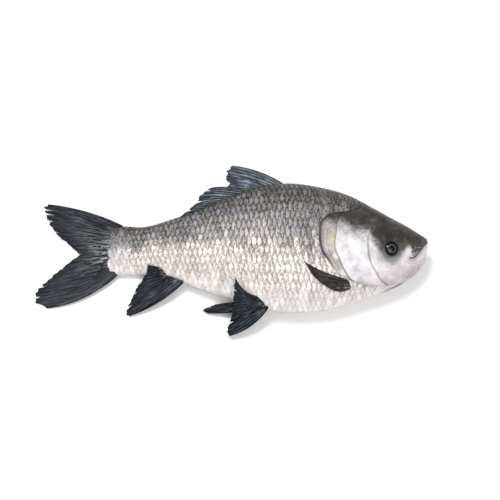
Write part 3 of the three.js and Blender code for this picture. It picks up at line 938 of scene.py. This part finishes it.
# fins: thin pleated sheets on a fan of rays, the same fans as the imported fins

# a split is (share across, depth, half width); a ray is (share across, place along the body in per cent,
# place across it in per cent of the half depth, height, length, degrees back, degrees up, bow)
fins = {
    "dorsal_fin": {
        "slot": "fin", "columns": 132, "rows": 30, "rayCount": 11, "root": 3.4, "tip": 0.5,
        "raggedness": 0.05,
        "splits": [(0.315, 0.10, 0.018), (0.45, 0.12, 0.015), (0.62, 0.14, 0.02), (0.8, 0.16, 0.025)],
        "rays": [
            (0, 44.6, 95, 6, 76, 23, -1, 6), (0.1, 47.1, 94, 6, 68, 19, -1, 4),
            (0.2, 49.6, 93, 6, 58, 14, 0, 2.5), (0.29, 52.1, 92, 6, 43, 10, 0, 0.5),
            (0.34, 53.7, 92, 6, 52, 7, 1, 1), (0.48, 57.5, 91, 5, 52, 5, 2, 1),
            (0.64, 62.2, 92, 5, 44, -6, 0, 1), (0.8, 67.6, 91, 4, 33, -10, 4, 0),
            (1, 74.8, 88, 3, 15, -8, 8, 0),
        ],
    },
    "tail_fin": {
        "slot": "fin", "columns": 240, "rows": 40, "rayCount": 22, "root": 4.6, "tip": 0.5,
        "raggedness": 0.035, "pale": (0.46, 0.24, 0.8, 1.0),
        "splits": [
            (0.075, 0.2, 0.012), (0.125, 0.16, 0.012), (0.19, 0.12, 0.01), (0.3, 0.1, 0.01),
            (0.5, 0.1, 0.014), (0.63, 0.08, 0.01), (0.8, 0.1, 0.01), (0.91, 0.1, 0.01),
        ],
        "rays": [
            (0, 95.8, 94, 0, 110, 20, -5, 6), (0.06, 98.4, 90, 0, 103, 18.5, -4, 4.5),
            (0.14, 99.4, 79, 0, 95, 16.5, -4, 2), (0.22, 99.4, 58, 0, 88, 14, -4, 0),
            (0.32, 99.4, 33, 0, 76, 11, -4, 0), (0.42, 99.4, 8, 0, 59, 8, -6, 0),
            (0.5, 99.4, -9, 0, 45, 0, -6, 0), (0.58, 99.4, -25, 0, 59, -7, -5, 0),
            (0.68, 99.4, -46, 0, 76, -11.5, -4, 0), (0.78, 99.3, -67, 0, 92, -14.5, -3, -2),
            (0.88, 99.2, -79, 0, 103, -17.5, -3, -5), (0.95, 98.6, -87, 0, 105, -21.5, -3, -8),
            (1, 97.3, -90, 0, 100, -27, -3, -10),
        ],
    },
    "anal_fin": {
        "slot": "fin", "lies": "over", "columns": 140, "rows": 32, "rayCount": 12, "root": 3.2,
        "tip": 0.5, "raggedness": 0.04, "pale": (0.7, 0.5, 0.4, 1.0),
        "splits": [(0.22, 0.1, 0.015), (0.42, 0.12, 0.018), (0.75, 0.14, 0.02)],
        "rays": [
            (0, 76.4, -96, 0, 83, -31, -10, -6), (0.12, 77.6, -95, 0, 81, -31, -10, -3),
            (0.3, 79.2, -94, 1, 65, -26, -13, -1), (0.5, 80.5, -92, 2, 49, -19, -13, 0),
            (0.66, 81.5, -90, 2, 34, -11, -10, 0), (0.82, 82.2, -88, 3, 24, 3, 1, 0),
            (1, 82.9, -86, 3, 22, 17, 18, 0),
        ],
    },
    "right_pelvic_fin": {
        "slot": "fin", "lies": "over", "columns": 112, "rows": 32, "rayCount": 9, "root": 3.6,
        "tip": 0.5, "raggedness": 0.03,
        "splits": [(0.28, 0.1, 0.015), (0.6, 0.12, 0.02), (0.82, 0.12, 0.02)],
        "rays": [
            (0, 50, -95, 3, 63, -34, -19, -7), (0.12, 50.4, -94, 5, 62, -30, -21, -2.5),
            (0.35, 50.7, -93, 7, 50, -20, -19, -1), (0.55, 51.2, -92, 9, 40, -8, -5, 0),
            (0.75, 51.6, -91, 10, 38, 8, 13, -2), (1, 52.1, -90, 11, 43, 31, 30, -6),
        ],
    },
    "left_pelvic_fin": {
        "slot": "fin", "columns": 80, "rows": 32, "rayCount": 8, "root": 3.0, "tip": 0.5,
        "raggedness": 0.03,
        "splits": [(0.4, 0.1, 0.02), (0.7, 0.1, 0.02)],
        "rays": [
            (0, 51.3, -94, -5, 73, -3, -13, -3), (0.5, 51.9, -92, -5, 77, -1, -13, 0),
            (1, 52.5, -90, -5, 60, 3, -16, 2),
        ],
    },
    "right_pectoral_fin": {
        "slot": "pectoral_fin", "lies": "over", "columns": 112, "rows": 30, "rayCount": 13, "root": 2.2,
        "tip": 0.6, "raggedness": 0.02, "rootRound": 0.18, "pale": (0.8, 0.45, 0.7, 1.0),
        "splits": [(0.6, 0.06, 0.015)],
        "rays": [
            (0, 24, -76.5, 0, 64, 17.5, 0, -4), (0.35, 23.7, -78, 0, 61, 14.5, 0, -5),
            (0.7, 23.7, -80, 0, 54, 8.5, 0, -6), (1, 24, -81.5, 0, 35, -5, 0, -6),
        ],
    },
    "left_pectoral_fin": {
        "slot": "pectoral_fin", "lies": "under", "columns": 90, "rows": 26, "rayCount": 11, "root": 2.0,
        "tip": 0.5, "raggedness": 0.02,
        "splits": [(0.55, 0.06, 0.015)],
        "rays": [
            (0, 24.4, -48, 0, 62, -10, 0, 3), (0.5, 24.2, -56, 0, 60, -9, 0, 2),
            (1, 25, -64, 0, 40, -4, 0, 1),
        ],
    },
}
finFit = {
    "skinGap": 2.5,  # a fin that lies over the flank, from its middle down to the skin
    "rootDepth": 4,
    "rootReach": 0.25,
    "floorGap": 0.1,
    "rayStand": 0.26,  # a ray stands this far out of the sheet on either side
    "rayStandTip": 0.12,
    "branchAt": 0.42,  # share of a ray's length where it parts in two
    "pleat": 0.3,
    "pale": (0.4, 0.5, 0.4, 0.6),
}


# middle of a fin's sheet, share of the way across it and reach of the way up its rays
def finPoint(fin, share, reach):
    along, across, height, length, sweep, climb, bow = np.moveaxis(fin["curve"](share), -1, 0)
    s = sectionAt(along)
    turn, tilt = np.radians(sweep), np.radians(climb)
    run = length * np.cos(tilt) * reach
    aside = 4 * bow * reach * (1 - reach)
    x = -fish["length"] * along / 100 - run * np.cos(turn) + aside * np.sin(turn)
    y = s["middle"] + s["halfDepth"] * across / 100 + run * np.sin(turn) + aside * np.cos(turn)
    z = s["rise"] + s["roll"] * across / 100 + height + length * np.sin(tilt) * reach
    if fin.get("lies") == "under":
        z = 0 * z
    if fin.get("lies") == "over":
        rise = (finFit["skinGap"] + finFit["rootDepth"]) * ease(reach / finFit["rootReach"])
        gap = rise - finFit["rootDepth"]
        over = flankHeight(x, y) + gap
        spare = z - over
        z = np.where(over < -500, z, 0.5 * (z + over + np.sqrt(spare ** 2 + 1.0)))
    return np.stack([x, y, z], -1)


# how much of the paler root colour shows: share across, spread, reach, strength
def paleRoot(fin, share, reach):
    place, spread, end, most = fin.get("pale", finFit["pale"])
    return most * bump(share - place, spread) * ease((end - reach) / end)


def halfThickness(fin, reach):
    return (fin["tip"] + (fin["root"] - fin["tip"]) * (1 - reach) ** 1.8) / 2


# how far up its ray the sheet goes: scalloped between rays, ragged, with a few splits
def finEnd(fin, share):
    count = fin["rayCount"]
    between = np.abs(np.sin(math.pi * count * share))
    seed = len(fin["rays"]) + count
    ragged = 0.4 * np.sin(share * 41 + seed) + 0.35 * np.sin(share * 97 + 2 * seed)
    ragged += 0.25 * np.sin(share * 173 + seed)
    end = 1 - 0.02 * between - fin["raggedness"] * (0.5 + 0.5 * ragged)
    for place, depth, width in fin["splits"]:
        end = end - depth * np.clip(1 - np.abs(share - place) / width, 0, 1)
    return end


def makeFinSheet(name, fin):
    columns, rows = fin["columns"] + 1, fin["rows"] + 1
    share = np.linspace(0, 1, columns)[:, None] + np.zeros((1, rows))
    climb = np.linspace(0, 1, rows)[None, :] ** 0.9
    start = fin.get("rootRound", 0) * (2 * share - 1) ** 2
    reach = start + (finEnd(fin, share) - start) * climb
    middle = finPoint(fin, share, reach)
    acrossStep, upStep = np.gradient(middle, axis=0), np.gradient(middle, axis=1)
    normal = np.cross(acrossStep, upStep)
    normal /= np.maximum(np.linalg.norm(normal, axis=-1, keepdims=True), 1e-9)
    normal *= np.where(normal[..., 2:] < 0, -1, 1)
    half = halfThickness(fin, reach)
    half = half * (1 - 0.75 * ease((climb - 0.93) / 0.07))
    if "rootRound" in fin:
        half = half * np.sqrt(np.clip(climb / 0.08, 0.1, 1))
    edge = np.minimum(share, 1 - share)
    half = half * np.sqrt(np.clip(edge / 0.02, 0.15, 1))
    pleat = finFit["pleat"] * np.cos(2 * math.pi * fin["rayCount"] * share) * ease(reach * 4)
    if fin.get("lies") == "under":
        pleat = pleat * 0.3
    middle[..., 2] = np.maximum(middle[..., 2], half + np.abs(pleat) + finFit["floorGap"])
    upper = middle + normal * (half + pleat)[..., None]
    lower = middle - normal * (half - pleat)[..., None]
    rings = np.concatenate([upper, lower[:, ::-1]], axis=1)
    points = rings.reshape(-1, 3)
    around = 2 * rows
    faces = gridFaces(columns, around)
    faces.append(tuple(range(around)))
    faces.append(tuple((columns - 1) * around + k for k in range(around - 1, -1, -1)))
    item = faceOut(makeObject(name, points, faces))
    place = np.stack([share * fin["rayCount"], reach, paleRoot(fin, share, reach)], -1)
    giveValues(item, "finPlace", np.concatenate([place, place[:, ::-1]], axis=1).reshape(-1, 3))
    return item


# the rays as lines for the geometry tree, each of which parts in two on its way out
def makeRayLines(name, fin):
    points, edges, radii, places = [], [], [], []
    count = fin["rayCount"]

    def addLine(start, finish, spread, steps):
        t = np.linspace(0, 1, steps)
        middle = start[0] + 0 * t
        share = np.clip(middle + spread * ease(t * 1.6), 0.004, 0.996)
        reach = start[1] + (finish - start[1]) * t
        reach = np.minimum(reach, finEnd(fin, share) - 0.006)
        line = finPoint(fin, share, reach)
        half = halfThickness(fin, reach)
        stand = finFit["rayStand"] + (finFit["rayStandTip"] - finFit["rayStand"]) * reach
        radius = (half + stand) * (1 - 0.35 * (spread != 0) * t)
        pleat = finFit["pleat"] * ease(reach * 4) * (0.3 if fin.get("lies") == "under" else 1)
        line[:, 2] = np.maximum(line[:, 2], radius + finFit["floorGap"])
        line[:, 2] += pleat * np.cos(2 * math.pi * count * share)
        first = len(points)
        points.extend(line)
        edges.extend((first + k, first + k + 1) for k in range(steps - 1))
        radii.extend(radius)
        places.extend(zip(share * count, reach, paleRoot(fin, share, reach)))

    for i in range(count + 1):
        share = min(max(i / count, 0.006), 0.994)
        end = float(finEnd(fin, np.array(share)))
        fork = finFit["branchAt"] * (1.0 if 0 < i < count else 2.3)
        start = 0.03 + fin.get("rootRound", 0) * (2 * share - 1) ** 2
        addLine((share, start), min(fork, end), 0, 12)
        if fork < end:
            for side in (-1, 1):
                addLine((share, fork - 0.02), end, side * 0.2 / count, 14)
    item = makeObject(name + "_lines", points, [], edges)
    giveValues(item, "rayRadius", np.array(radii) * mm)
    giveValues(item, "finPlace", np.array(places))
    return item


def makeFinTree():
    tree, given = newGeometryTree("finRays", [
        ("Geometry", "NodeSocketGeometry"), ("Rays", "NodeSocketObject"), ("Sides", "NodeSocketInt"),
        ("Material", "NodeSocketMaterial")])
    out = given.outputs
    lines = addNode(tree, "GeometryNodeObjectInfo", {"Object": out["Rays"]})
    curves = addNode(tree, "GeometryNodeMeshToCurve", {"Mesh": lines.outputs["Geometry"]})
    radius = addNode(tree, "GeometryNodeInputNamedAttribute", {"Name": "rayRadius"}, data_type="FLOAT")
    profile = addNode(tree, "GeometryNodeCurvePrimitiveCircle", {"Resolution": out["Sides"], "Radius": 1.0})
    tubes = addNode(tree, "GeometryNodeCurveToMesh", {
        "Curve": curves, "Profile Curve": profile.outputs["Curve"], "Scale": radius.outputs[0],
        "Fill Caps": True})
    joined = addNode(tree, "GeometryNodeJoinGeometry")
    tree.links.new(tubes.outputs[0], joined.inputs[0])
    tree.links.new(out["Geometry"], joined.inputs[0])
    whole = addNode(tree, "GeometryNodeRealizeInstances", {"Geometry": joined})
    soft = addNode(tree, "GeometryNodeSetShadeSmooth", {"Geometry": whole})
    finished = addNode(tree, "GeometryNodeSetMaterial", {"Geometry": soft, "Material": out["Material"]})
    addNode(tree, "NodeGroupOutput", {"Geometry": finished})
    return tree


# patterns on a fin: how many across the room of one ray, and how many up its length
finLook = {
    "streaks": (4.3, 3.0, 0.0),
    "threads": (13.6, 7.0, 0.0),
    "joints": 16.0,  # bands of a ray's joints
    "grain": 1.111,  # millimetres
    # dark, middle, pale, and pale near the root
    "slate": ("#060709", "#171b21", "#4a5460", "#a3a7aa"),
    "blue grey": ("#12151a", "#2a3039", "#7f8a98", "#8b8f93"),
    "brown grey": ("#100f0f", "#2f2b29", "#665e5a", "#938a85"),
}


# wet skin over bony rays: slate with paler streaks along the rays, and dark ends
def makeFinMaterial(tone):
    material, tree = newMaterial("wet fin skin, " + tone)
    dark, middle, pale, root = finLook[tone]
    place = addNode(tree, "ShaderNodeAttribute", attribute_name="finPlace").outputs["Vector"]
    parts = addNode(tree, "ShaderNodeSeparateXYZ", place)
    stretch = addNode(tree, "ShaderNodeVectorMath MULTIPLY", place, finLook["streaks"])
    streaks = addNode(tree, "ShaderNodeTexNoise", {
        "Vector": stretch, "Scale": 1.0, "Detail": 4.0, "Roughness": 0.65})
    fine = addNode(tree, "ShaderNodeVectorMath MULTIPLY", place, finLook["threads"])
    threads = addNode(tree, "ShaderNodeTexNoise", {"Vector": fine, "Scale": 1.0, "Detail": 3.0})
    bend = addNode(tree, "ShaderNodeMath MULTIPLY_ADD", streaks, 0.5, parts.outputs["X"])
    branch = addNode(tree, "ShaderNodeMath MULTIPLY", bend, 4 * math.pi)
    ridge = addNode(tree, "ShaderNodeMath COSINE", branch)
    level = addNode(tree, "ShaderNodeMath MULTIPLY_ADD", ridge, 0.085, streaks)
    mixed = addNode(tree, "ShaderNodeMath MULTIPLY_ADD", threads, 0.6, -0.3)
    level = addNode(tree, "ShaderNodeMath ADD", level, mixed)
    tint = addNode(tree, "ShaderNodeValToRGB", level, stops=[(0.34, dark), (0.5, middle), (0.7, pale)])
    rootTint = addNode(tree, "ShaderNodeValToRGB", level, stops=[(0.28, dark), (0.42, middle), (0.58, root)])
    rooted = addNode(tree, "ShaderNodeMix", {
        0: parts.outputs["Z"], 6: tint.outputs[0], 7: rootTint.outputs[0]}, data_type="RGBA")
    atTip = addNode(tree, "ShaderNodeMapRange", {
        0: parts.outputs["Y"], 1: 0.55, 2: 1.0, 4: 0.6}, **eased)
    colour = addNode(tree, "ShaderNodeMix", {0: atTip, 6: rooted.outputs[2], 7: dark}, data_type="RGBA")
    objectPlace = addNode(tree, "ShaderNodeTexCoord").outputs["Object"]
    grain = addNode(tree, "ShaderNodeTexNoise", {
        "Vector": objectPlace, "Scale": 1 / (finLook["grain"] * mm), "Detail": 2.0})
    joints = addNode(tree, "ShaderNodeTexWave", {
        "Vector": place, "Scale": finLook["joints"], "Distortion": 2.0, "Detail": 1.0}, bands_direction="Y")
    lifted = addNode(tree, "ShaderNodeMath MULTIPLY_ADD", threads, 1.2, grain)
    relief = addNode(tree, "ShaderNodeMath MULTIPLY_ADD", joints, 0.25, lifted)
    bumps = addNode(tree, "ShaderNodeBump", {"Strength": 0.55, "Distance": 0.00025, "Height": relief})
    rough = addNode(tree, "ShaderNodeMapRange", threads, 0.3, 0.7, 0.3, 0.48)
    shader = addNode(tree, "ShaderNodeBsdfPrincipled", {
        "Base Color": colour.outputs[2], "Roughness": rough, "Normal": bumps, "IOR": 1.4,
        "Specular IOR Level": 0.22, "Coat Weight": 0.04, "Coat Roughness": 0.25})
    addNode(tree, "ShaderNodeOutputMaterial", {"Surface": shader})
    return material


def makeFins():
    tree = makeFinTree()
    slate, grey, brown = [makeFinMaterial(tone) for tone in ("slate", "blue grey", "brown grey")]
    made = []
    for name, fin in fins.items():
        fin["curve"] = smoothThrough(fin["rays"])
        sheet = makeFinSheet(name + "_sheet", fin)
        lines = makeRayLines(name, fin)
        material = brown if fin["slot"] == "pectoral_fin" else grey if name == "dorsal_fin" else slate
        item = runTree(sheet, tree, {"Rays": lines, "Sides": 8, "Material": material})
        made.append((item, name, fin["slot"]))
        putAway(lines)
        print(name, len(sheet.data.polygons), "faces")
    return made


finPieces = makeFins()


# eyes: a ball flattened in its socket, with the clear bulge over a dark pupil

eye = {
    "across": 9.0,
    "deep": 5.2,
    "dome": 2.3,  # how far the top stands out of the head
    "bulge": 0.75,
    "bulgeAcross": 5.2,
    "ripple": 0.909,  # unevenness of the iris's rings
    "mottle": 0.3846,
    "wet": 1.25,
    "iris": [(0.0, "#020202"), (0.37, "#040405"), (0.4, "#2a2b2c"), (0.43, "#7d7c76"), (0.475, "#565551"),
             (0.53, "#111213"), (0.68, "#1a1d1f"), (0.84, "#0a0b0c")],  # from the middle, 1 is a centimetre
}


def eyeFrame(side):
    along, angle = head["eye"]
    top = skinPoint(np.array(along), np.array(side * angle))
    out = outwardAt(np.array(along), np.array(side * angle))
    s = sectionAt(np.array(along))
    if out @ (top - np.array([top[0], s["middle"], s["rise"]])) < 0:
        out = -out
    ahead = np.array([1.0, 0, 0]) - out * out[0]
    ahead /= np.linalg.norm(ahead)
    return top, out, ahead, np.cross(out, ahead)


def makeEye(name, side):
    top, out, ahead, beside = eyeFrame(side)
    rings, around = 72, 96
    tilt = np.linspace(0, math.pi, rings + 1)[1:-1, None]
    turn = np.linspace(0, 2 * math.pi, around, endpoint=False)[None, :]
    radius = eye["across"] * np.sin(tilt) + 0 * turn
    bulge = eye["bulge"] * bump(radius, eye["bulgeAcross"]) * (tilt < math.pi / 2)
    height = eye["deep"] * np.cos(tilt) + bulge
    centre = top + out * (eye["dome"] - eye["deep"] - eye["bulge"])
    points = (centre + out * height[..., None] + ahead * (radius * np.cos(turn))[..., None]
              + beside * (radius * np.sin(turn))[..., None])
    poles = [centre + out * (eye["deep"] + eye["bulge"]), centre - out * eye["deep"]]
    faces = gridFaces(rings - 1, around)
    last = (rings - 2) * around
    first = (rings - 1) * around
    for j in range(around):
        k = (j + 1) % around
        faces.append((first, k, j))
        faces.append((first + 1, last + j, last + k))
    item = faceOut(makeObject(name, np.concatenate([points.reshape(-1, 3), poles]), faces))
    flat = np.stack([radius * np.cos(turn), radius * np.sin(turn), height], -1).reshape(-1, 3)
    giveValues(item, "eyePlace", np.concatenate([flat, [[0, 0, eye["deep"]], [0, 0, -eye["deep"]]]]))
    return smooth(item)


# clear wet cornea over a black pupil with a thin bright ring and a dark mottled iris
def makeEyeMaterial():
    material, tree = newMaterial("wet eye")
    inEye = addNode(tree, "ShaderNodeAttribute", attribute_name="eyePlace").outputs["Vector"]
    flat = addNode(tree, "ShaderNodeVectorMath MULTIPLY", inEye, (1.0, 1.0, 0.0))
    noise = addNode(tree, "ShaderNodeTexNoise", {"Vector": inEye, "Scale": 1 / eye["ripple"], "Detail": 3.0})
    radius = addNode(tree, "ShaderNodeVectorMath LENGTH", flat)
    uneven = addNode(tree, "ShaderNodeMath MULTIPLY_ADD", noise, 1.1, -0.55)
    distance = addNode(tree, "ShaderNodeMath ADD", radius.outputs["Value"], uneven)
    share = addNode(tree, "ShaderNodeMath DIVIDE", distance, 10.0)
    iris = addNode(tree, "ShaderNodeValToRGB", share, stops=eye["iris"])
    spokes = addNode(tree, "ShaderNodeTexNoise", {"Vector": inEye, "Scale": 1 / eye["mottle"], "Detail": 4.0})
    mottled = addNode(tree, "ShaderNodeMapRange", spokes, 0.38, 0.62, 0.1, 1.3)
    colour = addNode(tree, "ShaderNodeVectorMath SCALE", {0: iris.outputs[0], "Scale": mottled})
    wet = addNode(tree, "ShaderNodeTexNoise", {"Vector": inEye, "Scale": 1 / eye["wet"], "Detail": 2.0})
    bumps = addNode(tree, "ShaderNodeBump", {"Strength": 0.12, "Distance": 0.0002, "Height": wet})
    rough = addNode(tree, "ShaderNodeMapRange", spokes, 0.3, 0.7, 0.12, 0.25)
    shader = addNode(tree, "ShaderNodeBsdfPrincipled", {
        "Base Color": colour, "Roughness": rough, "Normal": bumps, "IOR": 1.38, "Specular IOR Level": 0.1,
        "Coat Weight": 0.4, "Coat Roughness": 0.03})
    addNode(tree, "ShaderNodeOutputMaterial", {"Surface": shader})
    return material


eyeMaterial = makeEyeMaterial()
eyePieces = [(makeEye("right_eye_ball", 1), "right_eye"), (makeEye("left_eye_ball", -1), "left_eye")]
for item, node in eyePieces:
    item.data.materials.append(eyeMaterial)
print("eyes made")


# skin of the head: dark mottled crown, silver white cheek with lilac and blue under the slime

# sizes of its patterns, in millimetres
skinLook = {
    "clouds": 18.18,
    "grain": 1.923,
    "veinBends": 11.11,
    "veins": 10.526,
    "freckles": 1.613,
    "pores": 1.0,  # about twice too coarse, so that they show
}
skinTones = {
    "cheek": [(0.3, "#a6a3a6"), (0.45, "#cdcacc"), (0.62, "#e4e2e2")],
    "crown": [(0.3, "#1f1d1b"), (0.5, "#36322f"), (0.7, "#5b5650")],
    "around": [(0.3, "#2c3033"), (0.55, "#50585d"), (0.7, "#7d868a")],  # round the eye
    "shade": [(0.3, "#6b6762"), (0.5, "#a09b93"), (0.64, "#dcd7d0")],  # the gill cover's membrane
}


def makeSkinMaterial():
    material, tree = newMaterial("wet scaleless skin")
    objectPlace = addNode(tree, "ShaderNodeTexCoord").outputs["Object"]
    tints = {name: addNode(tree, "ShaderNodeAttribute", attribute_name=name).outputs["Fac"]
             for name in ("dark", "blue", "lines", "membrane", "yellow", "blush", "freckles", "chin")}
    density = {name: 1 / (size * mm) for name, size in skinLook.items()}
    clouds = addNode(tree, "ShaderNodeTexNoise", {
        "Vector": objectPlace, "Scale": density["clouds"], "Detail": 5.0, "Roughness": 0.62})
    grain = addNode(tree, "ShaderNodeTexNoise", {
        "Vector": objectPlace, "Scale": density["grain"], "Detail": 3.0})
    ramp = {name: addNode(tree, "ShaderNodeValToRGB", clouds, stops=stops).outputs[0]
            for name, stops in skinTones.items()}
    veinWarp = addNode(tree, "ShaderNodeTexNoise", {
        "Vector": objectPlace, "Scale": density["veinBends"], "Detail": 2.0})
    veinPlace = addNode(tree, "ShaderNodeVectorMath MULTIPLY_ADD",
                        veinWarp.outputs["Color"], (0.012, 0.012, 0.012), objectPlace)
    veins = addNode(tree, "ShaderNodeTexVoronoi", {
        "Vector": veinPlace, "Scale": density["veins"]}, feature="DISTANCE_TO_EDGE")
    veinLine = addNode(tree, "ShaderNodeMapRange", {
        0: veins.outputs[0], 1: 0.09, 2: 0.0, 4: 0.3}, **eased)
    veinPatch = addNode(tree, "ShaderNodeMath MULTIPLY", veinLine, clouds)
    spots = addNode(tree, "ShaderNodeTexVoronoi", {"Vector": objectPlace, "Scale": density["freckles"]})
    spotDisc = addNode(tree, "ShaderNodeMapRange", spots.outputs["Distance"], 0.42, 0.22, **eased)
    # spots of the freckle tint: real freckles under the eye, and painted shade in the patch behind it
    spotShare = addNode(tree, "ShaderNodeMath MULTIPLY", spotDisc, tints["freckles"])
    raggedDark = addNode(tree, "ShaderNodeMath MULTIPLY_ADD", grain, 0.5, -0.25)
    darkPlus = addNode(tree, "ShaderNodeMath ADD", tints["dark"], raggedDark)
    darkShare = addNode(tree, "ShaderNodeMapRange", darkPlus, 0.04, 0.9)

    colour = ramp["cheek"]
    layers = [
        # the chin layer is painted shade under the chin and beside the gape
        (tints["blush"], "#dfc9cd", 0.32), (tints["chin"], "#95827f", 0.68), (veinPatch, "#8493a3", 1.0),
        (tints["membrane"], ramp["shade"], 0.9), (tints["yellow"], "#d3c99b", 0.42),
        (tints["blue"], ramp["around"], 0.85), (darkShare, ramp["crown"], 1.0),
        # the lines layer is painted shade along the grooves, slits and the gill cover's edge, and dark round
        # the eye's rim
        (spotShare, "#4a4a50", 0.75), (tints["lines"], "#1d1a19", 0.92),
    ]
    for share, tint, most in layers:
        amount = addNode(tree, "ShaderNodeMath MULTIPLY", share, most)
        colour = addNode(tree, "ShaderNodeMix", {0: amount, 6: colour, 7: tint}, data_type="RGBA").outputs[2]

    pores = addNode(tree, "ShaderNodeTexVoronoi", {"Vector": objectPlace, "Scale": density["pores"]})
    relief = addNode(tree, "ShaderNodeMath MULTIPLY_ADD", pores.outputs["Distance"], 0.4, grain)
    relief = addNode(tree, "ShaderNodeMath MULTIPLY_ADD", clouds, 2.2, relief)
    bumps = addNode(tree, "ShaderNodeBump", {"Strength": 0.5, "Distance": 0.0003, "Height": relief})
    rough = addNode(tree, "ShaderNodeMapRange", grain, 0.3, 0.7, 0.3, 0.5)
    shader = addNode(tree, "ShaderNodeBsdfPrincipled", {
        "Base Color": colour, "Roughness": rough, "Normal": bumps, "IOR": 1.4,
        "Specular IOR Level": 0.25, "Coat Weight": 0.12, "Coat Roughness": 0.2})
    addNode(tree, "ShaderNodeOutputMaterial", {"Surface": shader})
    return material


skin.data.materials.append(makeSkinMaterial())
print("skin material made")


# table and light

studio = {
    "floor": "#f1f0ee",
    "grain": 3.333,  # of the table, in millimetres
    "tableSize": 6,  # half of its width, in metres
    "world": "#f4f5f7",
    "worldStrength": 0.65,
    "lights": [  # name, place, aim, across, watts, colour
        ("key", (-0.3, 0.42, 1.4), (0.05, 0, 0.03), 0.6, 16, "#fffdfa"),
        ("fill", (0.5, -0.8, 1.3), (0.05, 0, 0.03), 1.0, 10, "#fbfbff"),
    ],
}


def makeStudio():
    mesh = bpy.data.meshes.new("table")
    size = studio["tableSize"]
    corners = [(-size, -size, 0), (size, -size, 0), (size, size, 0), (-size, size, 0)]
    mesh.from_pydata(corners, [], [(0, 1, 2, 3)])
    table = bpy.data.objects.new("table", mesh)
    collection.objects.link(table)
    material, tree = newMaterial("matt white table")
    objectPlace = addNode(tree, "ShaderNodeTexCoord").outputs["Object"]
    grain = addNode(tree, "ShaderNodeTexNoise", {
        "Vector": objectPlace, "Scale": 1 / (studio["grain"] * mm), "Detail": 2.0})
    bumps = addNode(tree, "ShaderNodeBump", {"Strength": 0.05, "Distance": 0.0002, "Height": grain})
    shader = addNode(tree, "ShaderNodeBsdfPrincipled", {
        "Base Color": studio["floor"], "Roughness": 0.6, "Normal": bumps, "Specular IOR Level": 0.3})
    addNode(tree, "ShaderNodeOutputMaterial", {"Surface": shader})
    mesh.materials.append(material)

    world = bpy.data.worlds.new("studio")
    world.use_nodes = True
    world.node_tree.nodes.clear()
    sky = addNode(world.node_tree, "ShaderNodeBackground", {
        "Color": studio["world"], "Strength": studio["worldStrength"]})
    addNode(world.node_tree, "ShaderNodeOutputWorld", {"Surface": sky})
    bpy.context.scene.world = world
    bpy.context.scene.view_settings.view_transform = "Standard"
    for name, place, aim, across, watts, colour in studio["lights"]:
        data = bpy.data.lights.new(name, "AREA")
        data.shape = "DISK"
        data.size, data.energy, data.color = across, watts, linearColour(colour)[:3]
        item = bpy.data.objects.new(name, data)
        item.location = place
        item.rotation_euler = (Vector(place) - Vector(aim)).to_track_quat("Z", "Y").to_euler()
        collection.objects.link(item)


makeStudio()
print("studio made")


# every piece rides on the one body

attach(skin, "root")
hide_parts("body")
for item in scalePieces:
    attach(item, "root")
for item, node, slotName in finPieces:
    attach(item, "root")
    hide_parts(node)
for item, node in eyePieces:
    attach(item, "root")
    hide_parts(node)

print("pieces ride on the body")
